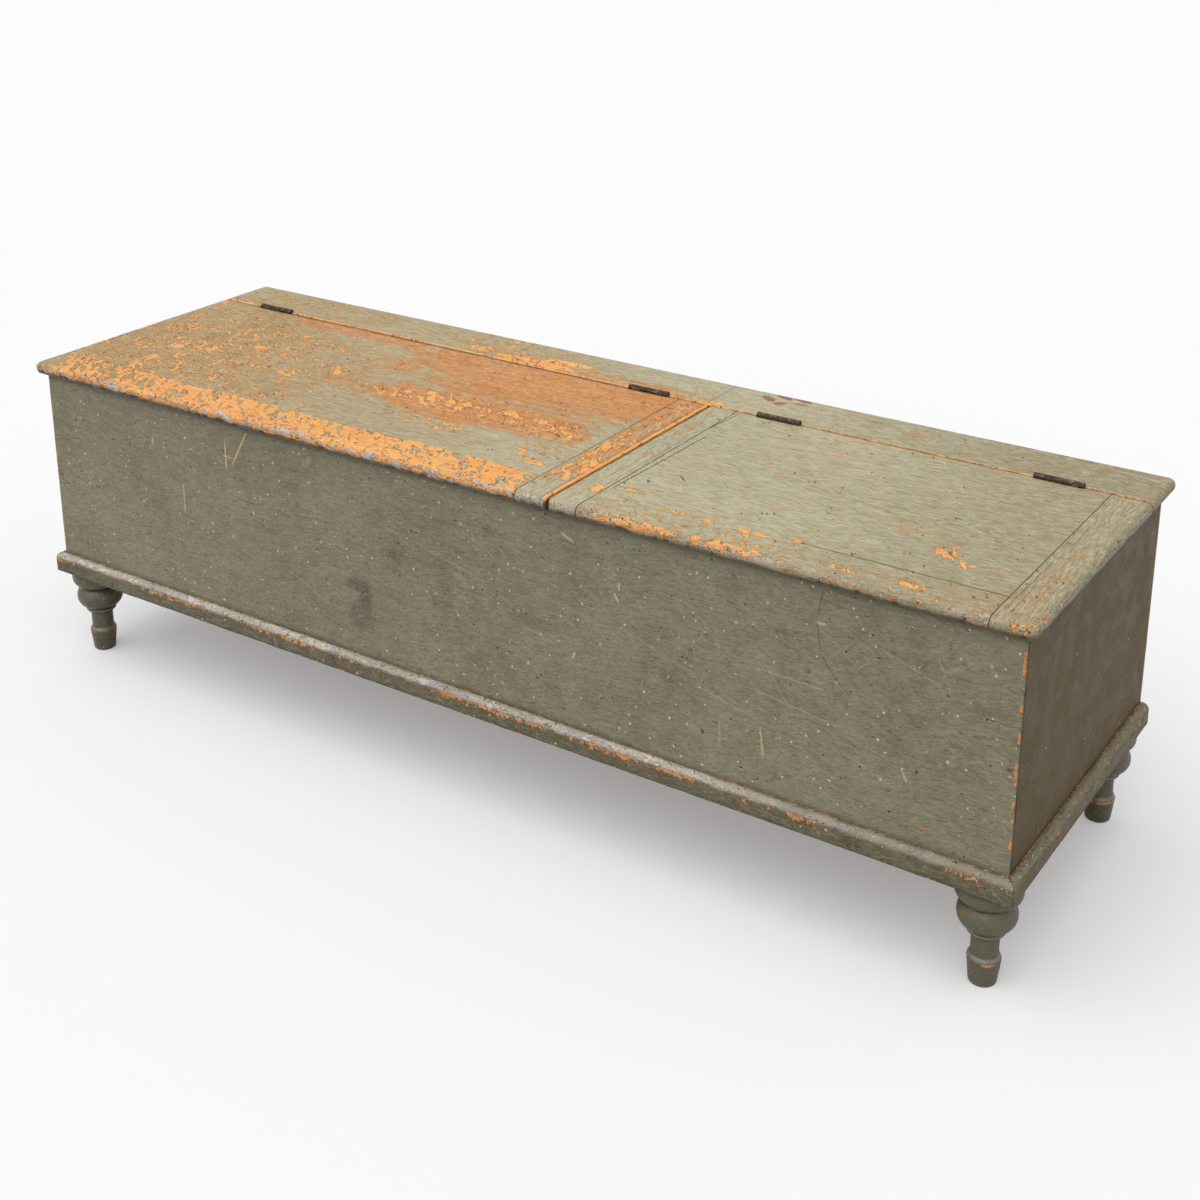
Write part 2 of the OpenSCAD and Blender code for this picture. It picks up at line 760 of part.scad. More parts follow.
// Screws of one leaf; side is 1 into the rail and -1 into a lid
module screws(x, side, grown = 0) {
    reach = hinge_length / 2 - screw_inset;
    level = (top_z - leaf_height + axis_z - knuckle_radius - knuckle_clearance) / 2;
    for (offset = spaced(screws_per_leaf, -reach, reach))
        translate([x + offset, axis_y + side * leaf_gap / 2, level])
            mirror([0, side < 0 ? 1 : 0, 0]) screw(grown);
}

module left_outer_hinge_rail_leaf() {
    hinge_leaf(left_outer_hinge, 1);
}

module left_inner_hinge_rail_leaf() {
    hinge_leaf(left_inner_hinge, 1);
}

module right_inner_hinge_rail_leaf() {
    hinge_leaf(right_inner_hinge, 1);
}

module right_outer_hinge_rail_leaf() {
    hinge_leaf(right_outer_hinge, 1);
}

module left_outer_hinge_lid_leaf() {
    hinge_leaf(left_outer_hinge, -1);
}

module left_inner_hinge_lid_leaf() {
    hinge_leaf(left_inner_hinge, -1);
}

module right_inner_hinge_lid_leaf() {
    hinge_leaf(right_inner_hinge, -1);
}

module right_outer_hinge_lid_leaf() {
    hinge_leaf(right_outer_hinge, -1);
}

module left_outer_hinge_pin() {
    hinge_pin(left_outer_hinge);
}

module left_inner_hinge_pin() {
    hinge_pin(left_inner_hinge);
}

module right_inner_hinge_pin() {
    hinge_pin(right_inner_hinge);
}

module right_outer_hinge_pin() {
    hinge_pin(right_outer_hinge);
}

module rail_hinge_screws() {
    color(IRON) for (x = ALL_HINGES) screws(x, 1);
}

module left_lid_hinge_screws() {
    color(IRON) for (x = LEFT_HINGES) screws(x, -1);
}

module right_lid_hinge_screws() {
    color(IRON) for (x = RIGHT_HINGES) screws(x, -1);
}

// Tongue or, grown, its groove between two corners of the plan
module tongue(low, high, grown = 0) {
    block(
        [low[0] - grown, low[1] - grown, tongue_z - grown],
        [high[0] + grown, high[1] + grown, tongue_z + tongue_thickness + grown]
    );
}

// Broad board of a lid, with tongues for the cleats and for the front board
module lid_main_board(low_x, high_x, hinges, cleat_nails) {
    level = case_top + lid_rest_gap;
    color(TOP_GREEN) difference() {
        union() {
            top_piece([low_x, lid_seam], [high_x, lid_back], level);
            tongue(
                [low_x - cleat_tongue_length, lid_seam + groove_stop],
                [high_x + cleat_tongue_length, lid_back - groove_stop]
            );
            tongue([low_x, lid_seam - edge_tongue_length], [high_x, lid_seam + past]);
        }
        for (x = hinges) hinge_recess(x, -1);
        nails(cleat_nails, DOWN, cleat_nail_length, nail_clearance);
    }
}

// Narrow board along the front of a lid
module lid_front_board(low_x, high_x, cleat_nails) {
    level = case_top + lid_rest_gap;
    color(TOP_GREEN) difference() {
        union() {
            top_piece([low_x, top_front - past], [high_x, lid_seam], level);
            tongue(
                [low_x - cleat_tongue_length, top_front + groove_stop],
                [high_x + cleat_tongue_length, lid_seam - edge_tongue_length - 2 * tongue_clearance]
            );
        }
        tongue(
            [low_x - past, lid_seam - edge_tongue_length],
            [high_x + past, lid_seam + past],
            tongue_clearance
        );
        nails(cleat_nails, DOWN, cleat_nail_length, nail_clearance);
    }
}

// Cleat across the end of a lid; seam is its edge against the boards
module lid_cleat(low_x, high_x, seam, cleat_nails) {
    inward = seam == low_x ? 1 : -1;
    level = case_top + lid_rest_gap;
    color(TOP_GREEN) difference() {
        top_piece([low_x, top_front - past], [high_x, lid_back], level);
        tongue(
            [min(seam - inward * past, seam + inward * cleat_tongue_length), top_front + groove_stop],
            [max(seam - inward * past, seam + inward * cleat_tongue_length), lid_back - groove_stop],
            tongue_clearance
        );
        nails(cleat_nails, DOWN, cleat_nail_length, nail_clearance);
    }
}

module left_lid_main_board() {
    lid_main_board(left_outer_seam, left_inner_seam, LEFT_HINGES, left_cleat_places);
}

module left_lid_front_board() {
    lid_front_board(left_outer_seam, left_inner_seam, left_cleat_places);
}

module left_lid_outer_cleat() {
    lid_cleat(-top_end - past, left_outer_seam, left_outer_seam, left_cleat_places);
}

module left_lid_inner_cleat() {
    lid_cleat(left_inner_seam, left_lid_edge, left_inner_seam, left_cleat_places);
}

module right_lid_main_board() {
    lid_main_board(right_inner_seam, right_outer_seam, RIGHT_HINGES, right_cleat_places);
}

module right_lid_front_board() {
    lid_front_board(right_inner_seam, right_outer_seam, right_cleat_places);
}

module right_lid_inner_cleat() {
    lid_cleat(right_lid_edge, right_inner_seam, right_inner_seam, right_cleat_places);
}

module right_lid_outer_cleat() {
    lid_cleat(right_outer_seam, top_end + past, right_outer_seam, right_cleat_places);
}

module front_corner_nails() {
    color(IRON) nails(front_corner_places, BACKWARD, corner_nail_length);
}

module back_corner_nails() {
    color(IRON) nails(back_corner_places, FORWARD, corner_nail_length);
}

module rail_nails() {
    color(IRON) nails(concat(rail_row_places, rail_end_places), DOWN, rail_nail_length);
}

module moulding_nails() {
    color(IRON) {
        nails(front_moulding_places, BACKWARD, moulding_nail_length);
        nails(left_moulding_places, RIGHTWARD, moulding_nail_length);
        nails(right_moulding_places, LEFTWARD, moulding_nail_length);
    }
}

module bottom_edge_nails() {
    color(IRON) {
        nails(front_bottom_places, BACKWARD, bottom_nail_length);
        nails(back_bottom_places, FORWARD, bottom_nail_length);
        nails(left_bottom_places, RIGHTWARD, bottom_nail_length);
        nails(right_bottom_places, LEFTWARD, bottom_nail_length);
    }
}

module bottom_board_nails() {
    color(IRON) nails(bottom_board_places, DOWN, bottom_nail_length);
}

module batten_nails() {
    color(IRON) {
        nails(left_batten_places, RIGHTWARD, batten_nail_length);
        nails(right_batten_places, LEFTWARD, batten_nail_length);
        nails(front_batten_places, BACKWARD, batten_nail_length);
        nails(back_batten_places, FORWARD, batten_nail_length);
    }
}

module divider_nails() {
    color(IRON) {
        nails(front_divider_places, BACKWARD, divider_nail_length);
        nails(back_divider_places, FORWARD, divider_nail_length);
    }
}

module left_lid_cleat_nails() {
    color(IRON) nails(left_cleat_places, DOWN, cleat_nail_length);
}

module right_lid_cleat_nails() {
    color(IRON) nails(right_cleat_places, DOWN, cleat_nail_length);
}

front_board();
back_board();
left_end_board();
right_end_board();
divider_board();
front_bottom_board();
middle_bottom_board();
rear_bottom_board();
left_foot_batten();
right_foot_batten();
middle_batten();
front_base_moulding();
left_base_moulding();
right_base_moulding();
front_left_foot();
front_right_foot();
rear_left_foot();
rear_right_foot();
back_rail();
left_outer_hinge_rail_leaf();
left_inner_hinge_rail_leaf();
right_inner_hinge_rail_leaf();
right_outer_hinge_rail_leaf();
left_outer_hinge_pin();
left_inner_hinge_pin();
right_inner_hinge_pin();
right_outer_hinge_pin();
rail_hinge_screws();
front_corner_nails();
back_corner_nails();
rail_nails();
moulding_nails();
bottom_edge_nails();
bottom_board_nails();
batten_nails();
divider_nails();
left_lid_main_board();
left_lid_front_board();
left_lid_outer_cleat();
left_lid_inner_cleat();
left_outer_hinge_lid_leaf();
left_inner_hinge_lid_leaf();
left_lid_hinge_screws();
left_lid_cleat_nails();
right_lid_main_board();
right_lid_front_board();
right_lid_inner_cleat();
right_lid_outer_cleat();
right_inner_hinge_lid_leaf();
right_outer_hinge_lid_leaf();
right_lid_hinge_screws();
right_lid_cleat_nails();
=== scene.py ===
"""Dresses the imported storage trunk: worn boards, turned feet, iron hinges, old paint, floor and light.

Lengths are millimetres until a mesh is made. X runs along the trunk, Y from the front to the back, Z up.
Wear levels, here called marks, run from 0 to 1 and are kept on each mesh under plain names.
"""
import functools
import itertools
import math

import bpy
import numpy as np
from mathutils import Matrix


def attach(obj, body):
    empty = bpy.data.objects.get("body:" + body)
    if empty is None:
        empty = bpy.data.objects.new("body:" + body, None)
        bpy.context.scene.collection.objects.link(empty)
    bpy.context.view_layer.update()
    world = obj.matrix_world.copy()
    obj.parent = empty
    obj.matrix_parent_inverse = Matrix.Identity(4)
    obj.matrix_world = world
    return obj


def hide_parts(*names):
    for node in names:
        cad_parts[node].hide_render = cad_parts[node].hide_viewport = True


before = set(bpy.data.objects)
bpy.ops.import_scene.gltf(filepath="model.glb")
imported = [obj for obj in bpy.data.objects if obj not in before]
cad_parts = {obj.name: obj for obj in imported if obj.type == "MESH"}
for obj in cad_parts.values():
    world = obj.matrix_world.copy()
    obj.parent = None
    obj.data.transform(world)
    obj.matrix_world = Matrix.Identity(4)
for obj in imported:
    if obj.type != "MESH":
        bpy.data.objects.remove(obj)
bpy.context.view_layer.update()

METRE = 0.001
SHARP_ANGLE = math.radians(50)
ORIGIN = (0.0, 0.0, 0.0)

# ---------------------------------------------------------------- the trunk's measures, as in its source

# the top reaches this far from the middle, to each end and to the front and back
TOP_END, TOP_DEEP = 915, 291
TOP_LOW, TOP_HIGH = 541, 563
NOSE = 11  # radius of the top's half-round edge
TOP_CORNER = 12  # radius of the top's corners, seen from above
LID_LOW = 541.3  # the lids' underside, just clear of the case
LID_BACK, RAIL_FRONT = 175, 177
LID_SEAM = -223
# from left to right: where the cleats meet the boards, and the lids' edges at the gap between them
LEFT_OUTER, LEFT_INNER, LEFT_EDGE = -854, 128.5, 183.5
GAP_MIDDLE = 186
RIGHT_EDGE, RIGHT_INNER, RIGHT_OUTER = 188.5, 236.5, 854
CASE_END, CASE_FRONT, CASE_BACK = 900, -273, 271
WALL = 20
CORNER_LIP = 6  # thickness of the front and back boards where they lap the end boards
CASE_BASE = 162
MOULDING_TOP = 196
MOULDING_OUT = 14
MOULDING_ROUND = 10
FOOT_X, FOOT_FRONT, FOOT_BACK = 862, -235, 233
# heights on a turned foot: worn floor edge, arris of the peg, thin ring, ball, and the groove over the ball
FLOOR_EDGE_Z, PEG_Z, RING_Z, BALL_Z, GROOVE_Z = 9, 38, 82.7, 109.4, 129
RING_ROUND = 3.5
HINGES = (-775, 67.5, 312.5, 775)
HINGE_HALF = 38.2  # half a hinge's length, with its clearance
AXIS_Y, AXIS_Z = 176, 564.5
# room cut for a hinge: round its knuckles, on either side of its leaves, and down to their lower edge
KNUCKLE_ROOM = 5.9
LEAF_ROOM = 2.8
LEAF_LOW = 544.3
NEAR_CUT = 0.1  # lines of a mesh lie this close on both sides of a cut


# ---------------------------------------------------------------- meshes cut, rounded and worn in code


def rough(points, size, seed):
    """Smooth noise from -1 to 1, the same on every run, with bumps of about the given size."""
    cell = points / size
    low = np.floor(cell).astype(np.int64)
    part = cell - low
    part = part * part * (3 - 2 * part)
    total = np.zeros(len(points))
    for corner in itertools.product((0, 1), repeat=3):
        key = low + corner
        mixed = key[:, 0] * 73856093 ^ key[:, 1] * 19349663 ^ key[:, 2] * 83492791 ^ (seed * 40503)
        mixed = (mixed ^ (mixed >> 13)) * 1274126177 & 0x7FFFFFFF
        mixed = (mixed ^ (mixed >> 15)) * 1911520717 & 0x7FFFFFFF
        value = (mixed >> 8 & 0xFFFF) / 32767.5 - 1
        total += value * np.prod(np.where(corner, part, 1 - part), axis=1)
    return total


def fade(value, low, high):
    """0 below low, 1 above high and smooth between, or the other way round when low is above high."""
    part = np.clip((value - low) / (high - low), 0, 1)
    return part * part * (3 - 2 * part)


def most(*levels):
    """The highest of several levels at each point."""
    return functools.reduce(np.maximum, levels)


def rounded_max(a, b, radius):
    """Distance field of two faces that meet in an arris of the given radius."""
    hollow = np.hypot(np.maximum(a + radius, 0), np.maximum(b + radius, 0))
    return np.minimum(np.maximum(a, b), -radius) + hollow


EDGE_ROWS = (0, 0.6, 1.3, 2.2, 3.4, 5, 7.2, 11, 16)


def rows(low, high, step, extra=(), edge=EDGE_ROWS):
    """Lines across a board: close together near both edges, and a step apart between them."""
    reach = min(edge[-1], (high - low) / 2)
    near = [r for r in edge if r <= reach + 1e-6]
    count = max(1, round((high - low - 2 * reach) / step))
    inner = np.linspace(low + reach, high - reach, count + 1)
    lines = np.concatenate([np.add(low, near), inner, np.subtract(high, near), np.asarray(extra, float)])
    lines = np.sort(lines[(lines >= low) & (lines <= high)])
    return lines[np.concatenate([[True], np.diff(lines) > 0.05])]


def lattice(xs, ys, zs):
    """Outer points and outward quads of a block cut along the given lines."""
    lines = (xs, ys, zs)
    counts = [len(line) for line in lines]
    quads = []
    for axis in range(3):
        u, v = (a for a in range(3) if a != axis)
        first, second = np.meshgrid(np.arange(counts[u] - 1), np.arange(counts[v] - 1), indexing="ij")
        for side in (0, counts[axis] - 1):
            corners = []
            for step_u, step_v in ((0, 0), (1, 0), (1, 1), (0, 1)):
                cell = np.zeros((first.size, 3), np.int64)
                cell[:, axis] = side
                cell[:, u] = first.ravel() + step_u
                cell[:, v] = second.ravel() + step_v
                corners.append(cell)
            quad = np.stack(corners, 1)
            quads.append(quad[:, ::-1] if (side == 0) != (axis == 1) else quad)
    cells = np.concatenate(quads).reshape(-1, 3)
    kept, faces = np.unique(cells, axis=0, return_inverse=True)
    points = np.stack([lines[a][kept[:, a]] for a in range(3)], 1)
    return points, faces.reshape(-1, 4)


def wear_down(points, low, high, field):
    """Draws each outer point towards the board's core until it lies on the worn surface."""
    low, high = np.asarray(low, float), np.asarray(high, float)
    inset = np.minimum(NOSE, (high - low) / 2 - 0.01)
    core = np.clip(points, low + inset, high - inset)
    inner, outer = np.zeros(len(points)), np.ones(len(points))
    for _ in range(15):
        middle = (inner + outer) / 2
        solid = field(core + (points - core) * middle[:, None]) < 0
        inner, outer = np.where(solid, middle, inner), np.where(solid, outer, middle)
    return core + (points - core) * inner[:, None]


def make_piece(node, points, faces, body, material, marks):
    """Makes the worn piece that stands for a node, in metres, with its marks, and hands it to the frame."""
    name = f"worn_{node}"
    mesh = bpy.data.meshes.new(name)
    count, corners = faces.shape
    mesh.vertices.add(len(points))
    mesh.vertices.foreach_set("co", (points * METRE).ravel())
    mesh.loops.add(faces.size)
    mesh.loops.foreach_set("vertex_index", faces.ravel())
    mesh.polygons.add(count)
    mesh.polygons.foreach_set("loop_start", np.arange(count) * corners)
    mesh.polygons.foreach_set("loop_total", np.full(count, corners))
    mesh.update(calc_edges=True)
    mesh.shade_smooth()
    mesh.set_sharp_from_angle(angle=SHARP_ANGLE)
    for mark, values in marks.items():
        mesh.attributes.new(mark, "FLOAT", "POINT").data.foreach_set("value", values.astype(np.float32))
    mesh.materials.append(material)
    piece = bpy.data.objects.new(name, mesh)
    bpy.context.scene.collection.objects.link(piece)
    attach(piece, body)
    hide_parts(node)
    return piece


# ---------------------------------------------------------------- shader nodes


def rgb(red, green, blue):
    """Linear colour from screen values of 0 to 255."""
    share = [c / 255 for c in (red, green, blue)]
    return (*(c / 12.92 if c <= 0.04045 else ((c + 0.055) / 1.055) ** 2.4 for c in share), 1)


class Bench:
    """Adds and wires the nodes of one material or group."""

    def __init__(self, tree):
        self.tree = tree

    def node(self, kind, **settings):
        made = self.tree.nodes.new(kind)
        for key, value in settings.items():
            setattr(made, key, value)
        return made

    def wire(self, value, socket):
        if isinstance(value, bpy.types.NodeSocket):
            self.tree.links.new(value, socket)
        elif value is not None:
            socket.default_value = value

    def math(self, operation, a, b=None, c=None, clamp=False):
        made = self.node("ShaderNodeMath", operation=operation, use_clamp=clamp)
        for value, socket in zip((a, b, c), made.inputs):
            self.wire(value, socket)
        return made.outputs[0]

    def vector(self, operation, a, b=None, scale=None):
        made = self.node("ShaderNodeVectorMath", operation=operation)
        self.wire(a, made.inputs[0])
        self.wire(b, made.inputs[1])
        self.wire(scale, made.inputs[3])
        return made.outputs[1 if operation in ("LENGTH", "DISTANCE", "DOT_PRODUCT") else 0]

    def times(self, a, b):
        return self.math("MULTIPLY", a, b)

    def plus(self, a, b):
        return self.math("ADD", a, b)

    def minus(self, a, b):
        return self.math("SUBTRACT", a, b)

    def larger(self, a, b):
        return self.math("MAXIMUM", a, b)

    def one_over(self, value):
        return self.math("DIVIDE", 1.0, value)

    def moved(self, place, way):
        return self.vector("ADD", place, way)

    def stretched(self, place, factors):
        return self.vector("MULTIPLY", place, factors)

    def scaled(self, place, factor):
        return self.vector("SCALE", place, scale=factor)

    def fade(self, value, low, high, bottom=0.0, top=1.0):
        """Bottom below low and top above high, smooth between; the other way round when low is above high."""
        made = self.node("ShaderNodeMapRange", interpolation_type="SMOOTHSTEP")
        for given, socket in zip((value, low, high, bottom, top), made.inputs):
            self.wire(given, socket)
        return made.outputs[0]

    def mix(self, share, a, b):
        made = self.node("ShaderNodeMix", data_type="RGBA")
        made.clamp_factor = True
        self.wire(share, made.inputs["Factor"])
        self.wire(a, made.inputs[6])
        self.wire(b, made.inputs[7])
        return made.outputs[2]

    def coat(self, mask, strength, under, over):
        """Over laid on under where the mask is, at most as thickly as strength."""
        return self.mix(self.times(mask, strength), under, over)

    def noise(self, vector, scale, detail=3.0, roughness=0.5, distortion=0.0):
        made = self.node("ShaderNodeTexNoise")
        self.wire(vector, made.inputs["Vector"])
        self.wire(scale, made.inputs["Scale"])
        self.wire(detail, made.inputs["Detail"])
        self.wire(roughness, made.inputs["Roughness"])
        self.wire(distortion, made.inputs["Distortion"])
        return made.outputs

    def mark(self, name):
        return self.node("ShaderNodeAttribute", attribute_name=name).outputs["Fac"]

    def millimetres(self):
        place = self.node("ShaderNodeTexCoord").outputs["Object"]
        return self.scaled(place, 1 / METRE)

    def use(self, name, **inputs):
        made = self.node("ShaderNodeGroup")
        made.node_tree = bpy.data.node_groups[name]
        for key, value in inputs.items():
            self.wire(value, made.inputs[key.replace("_", " ")])
        return made.outputs


def effect(name, inputs, outputs):
    """Starts a node group with named sockets; returns its bench, its inputs and its output node."""
    tree = bpy.data.node_groups.new(name, "ShaderNodeTree")
    for label, value in inputs.items():
        kind = "NodeSocketVector" if isinstance(value, tuple) else "NodeSocketFloat"
        socket = tree.interface.new_socket(label, in_out="INPUT", socket_type=kind)
        socket.default_value = value
    for label in outputs:
        kind = "NodeSocketColor" if label == "Colour" else "NodeSocketFloat"
        tree.interface.new_socket(label, in_out="OUTPUT", socket_type=kind)
    bench = Bench(tree)
    return bench, bench.node("NodeGroupInput").outputs, bench.node("NodeGroupOutput").inputs


def make_clouds():
    """Soft uneven patches of about the given size."""
    bench, given, out = effect("clouds", {"Vector": ORIGIN, "Size": 100.0}, ["Share"])
    scale = bench.one_over(given["Size"])
    shape = bench.noise(given["Vector"], scale, 3.0, 0.55)
    bench.wire(bench.fade(shape["Fac"], 0.3, 0.7), out["Share"])


def make_wood_grain():
    """Long growth lines along X, with short dark pores."""
    bench, given, out = effect("wood_grain", {"Vector": ORIGIN, "Spacing": 8.0}, ["Lines", "Pores"])
    scale = bench.one_over(given["Spacing"])
    near = bench.scaled(given["Vector"], scale)
    wander = bench.noise(bench.stretched(near, (0.05, 0.3, 0.3)), 1.0, 2.0)["Color"]
    bent = bench.moved(near, bench.scaled(wander, 2.5))
    lines = bench.noise(bench.stretched(bent, (0.035, 1.0, 1.0)), 1.0, 4.0, 0.6)["Fac"]
    pores = bench.noise(bench.stretched(bent, (0.22, 5.0, 5.0)), 1.0, 2.0, 0.5)["Fac"]
    bench.wire(bench.fade(lines, 0.3, 0.7), out["Lines"])
    bench.wire(bench.fade(pores, 0.6, 0.72), out["Pores"])


def make_brush_marks():
    """Fine ridges left by the brush, mostly along X and swirling a little."""
    bench, given, out = effect("brush_marks", {"Vector": ORIGIN, "Spacing": 3.0}, ["Ridges"])
    near = bench.scaled(given["Vector"], bench.one_over(given["Spacing"]))
    swirl = bench.noise(bench.scaled(near, 0.035), 1.0, 2.0)["Color"]
    swirl = bench.vector("SUBTRACT", swirl, (0.5, 0.5, 0.5))
    bent = bench.moved(near, bench.scaled(swirl, 16.0))
    ridges = bench.noise(bench.stretched(bent, (0.08, 1.0, 1.0)), 1.0, 3.0, 0.6)["Fac"]
    bench.wire(bench.fade(ridges, 0.3, 0.7), out["Ridges"])


def make_paint_flakes():
    """Where paint is lost, none at Worn 0 and all at Worn 1, in islands and curls; Rim lifts round them."""
    bench, given, out = effect(
        "paint_flakes", {"Vector": ORIGIN, "Worn": 0.3, "Size": 20.0, "Stretch": (1.0, 1.0, 1.0)},
        ["Bare", "Rim"])
    scale = bench.one_over(given["Size"])
    place = bench.stretched(given["Vector"], given["Stretch"])
    shape = bench.noise(place, scale, 3.0, 0.5, 1.1)["Fac"]
    level = bench.math("MULTIPLY_ADD", bench.minus(shape, 0.5), 1.2, given["Worn"])
    islands = bench.fade(level, 0.535, 0.555)
    curl = bench.noise(place, bench.times(scale, 1.9), 1.0, 0.5, 1.2)["Fac"]
    near_curl = bench.math("ABSOLUTE", bench.minus(curl, 0.5))
    broken = bench.fade(bench.noise(place, bench.times(scale, 1.6), 2.0)["Fac"], 0.49, 0.52)
    wanted = bench.times(given["Worn"], bench.fade(given["Worn"], 0.50, 0.60, 0.105, 0.02))
    begun = bench.fade(given["Worn"], 0.16, 0.30)
    curls = bench.fade(near_curl, wanted, bench.times(wanted, 0.7))
    bare = bench.larger(islands, bench.times(bench.times(curls, broken), begun))
    painted = bench.minus(1.0, bare)
    around = bench.fade(near_curl, bench.times(wanted, 1.6), wanted)
    around = bench.times(bench.times(around, broken), begun)
    bench.wire(bare, out["Bare"])
    bench.wire(bench.times(bench.larger(bench.fade(level, 0.50, 0.53), around), painted), out["Rim"])


def make_specks():
    """Scattered dots: Size is their spacing, Share how many cells have one, Radius its reach in cells."""
    bench, given, out = effect(
        "specks", {"Vector": ORIGIN, "Size": 20.0, "Share": 0.3, "Radius": 0.12}, ["Mask"])
    cells = bench.node("ShaderNodeTexVoronoi")
    bench.wire(given["Vector"], cells.inputs["Vector"])
    bench.wire(bench.one_over(given["Size"]), cells.inputs["Scale"])
    chance = bench.node("ShaderNodeSeparateColor")
    bench.wire(cells.outputs["Color"], chance.inputs[0])
    radius = bench.times(given["Radius"], bench.plus(chance.outputs[1], 0.5))
    dot = bench.fade(cells.outputs["Distance"], radius, bench.times(radius, 0.7))
    chosen = bench.math("LESS_THAN", chance.outputs[0], given["Share"])
    bench.wire(bench.times(dot, chosen), out["Mask"])


def make_hairlines():
    """Long thin curling scratches, broken along their length."""
    bench, given, out = effect("hairlines", {"Vector": ORIGIN, "Size": 60.0, "Width": 0.004}, ["Mask"])
    scale = bench.one_over(given["Size"])
    line = bench.noise(given["Vector"], scale, 2.0, 0.45, 0.8)["Fac"]
    away = bench.math("ABSOLUTE", bench.minus(line, 0.5))
    broken = bench.fade(bench.noise(given["Vector"], bench.times(scale, 2.3), 2.0)["Fac"], 0.52, 0.6)
    thin = bench.fade(away, given["Width"], bench.times(given["Width"], 0.3))
    bench.wire(bench.times(thin, broken), out["Mask"])


def make_stroke():
    """One scratch or crack from Start to End, as wide as Width."""
    bench, given, out = effect(
        "stroke", {"Vector": ORIGIN, "Start": ORIGIN, "End": (1.0, 0.0, 0.0), "Width": 1.0}, ["Mask"])
    run = bench.vector("SUBTRACT", given["End"], given["Start"])
    reach = bench.vector("SUBTRACT", given["Vector"], given["Start"])
    covered, whole = (bench.vector("DOT_PRODUCT", length, run) for length in (reach, run))
    along = bench.math("DIVIDE", covered, whole, clamp=True)
    nearest = bench.moved(given["Start"], bench.scaled(run, along))
    away = bench.vector("DISTANCE", given["Vector"], nearest)
    taper = bench.fade(bench.math("ABSOLUTE", bench.minus(along, 0.5)), 0.5, 0.3, 0.4, 1.0)
    half = bench.times(bench.times(given["Width"], 0.5), taper)
    bench.wire(bench.fade(away, bench.plus(half, 0.4), half), out["Mask"])


def make_aged_pine():
    """Colour and roughness height of unpainted pine, browned by age, with its grain along X."""
    bench, given, out = effect("aged_pine", {"Vector": ORIGIN}, ["Colour", "Height"])
    lines = bench.use("wood_grain", Vector=given["Vector"], Spacing=11.0)
    broad = bench.use("clouds", Vector=given["Vector"], Size=140.0)["Share"]
    colour = bench.mix(lines["Lines"], rgb(190, 150, 104), rgb(146, 108, 70))
    colour = bench.coat(broad, 0.4, colour, rgb(120, 92, 62))
    colour = bench.coat(lines["Pores"], 0.5, colour, rgb(84, 60, 40))
    bench.wire(colour, out["Colour"])
    bench.wire(bench.times(lines["Lines"], 0.0003), out["Height"])


for make_effect in (make_clouds, make_wood_grain, make_brush_marks, make_paint_flakes, make_specks,
                    make_hairlines, make_stroke, make_aged_pine):
    make_effect()


def start_material(name):
    """A new material: its bench and its Principled shader."""
    made = bpy.data.materials.new(name)
    made.use_nodes = True
    made.node_tree.nodes.clear()
    bench = Bench(made.node_tree)
    shader = bench.node("ShaderNodeBsdfPrincipled")
    bench.wire(shader.outputs[0], bench.node("ShaderNodeOutputMaterial").inputs["Surface"])
    return made, bench, shader


def turned(bench, place, order):
    """Place with its axes put in the given order, so that the grain runs along X and the face lies in XY."""
    if order == "xyz":
        return place
    parts = bench.node("ShaderNodeSeparateXYZ")
    bench.wire(place, parts.inputs[0])
    joined = bench.node("ShaderNodeCombineXYZ")
    for axis, target in zip(order, joined.inputs):
        bench.wire(parts.outputs["xyz".index(axis)], target)
    return joined.outputs[0]


def bumped(bench, shader, height):
    """Raises the surface by height, in metres."""
    bump = bench.node("ShaderNodeBump")
    bump.inputs["Distance"].default_value = 1.0
    bump.inputs["Strength"].default_value = 1.0
    bench.wire(height, bump.inputs["Height"])
    bench.wire(bump.outputs[0], shader.inputs["Normal"])


def slanted(bench, place, turn, long):
    """Place turned about Z and squeezed, so that marks come out longer in one direction."""
    spin = bench.node("ShaderNodeVectorRotate", rotation_type="Z_AXIS")
    bench.wire(place, spin.inputs["Vector"])
    spin.inputs["Angle"].default_value = turn
    return bench.stretched(spin.outputs[0], (1 / long, 1.0, 1.0))


# layers of fine scratches in old paint: size of their curls, shift of the pattern, strength and tone
HAIRLINE_LAYERS = ((75.0, 0.0, 0.6, "pale"), (48.0, 400.0, 0.4, "pale"), (60.0, 900.0, 0.4, "dull"))
HAIRLINE_WIDTH = 0.45
# pale colours of chips on battered edges, partly painted glints
COLD_CHIP_AND_GLINT, WARM_CHIP_AND_GLINT = rgb(156, 166, 176), rgb(226, 216, 204)
# dark of grime, and of painted shade in gaps and under edges
GRIME_AND_SHADE = rgb(22, 17, 12)


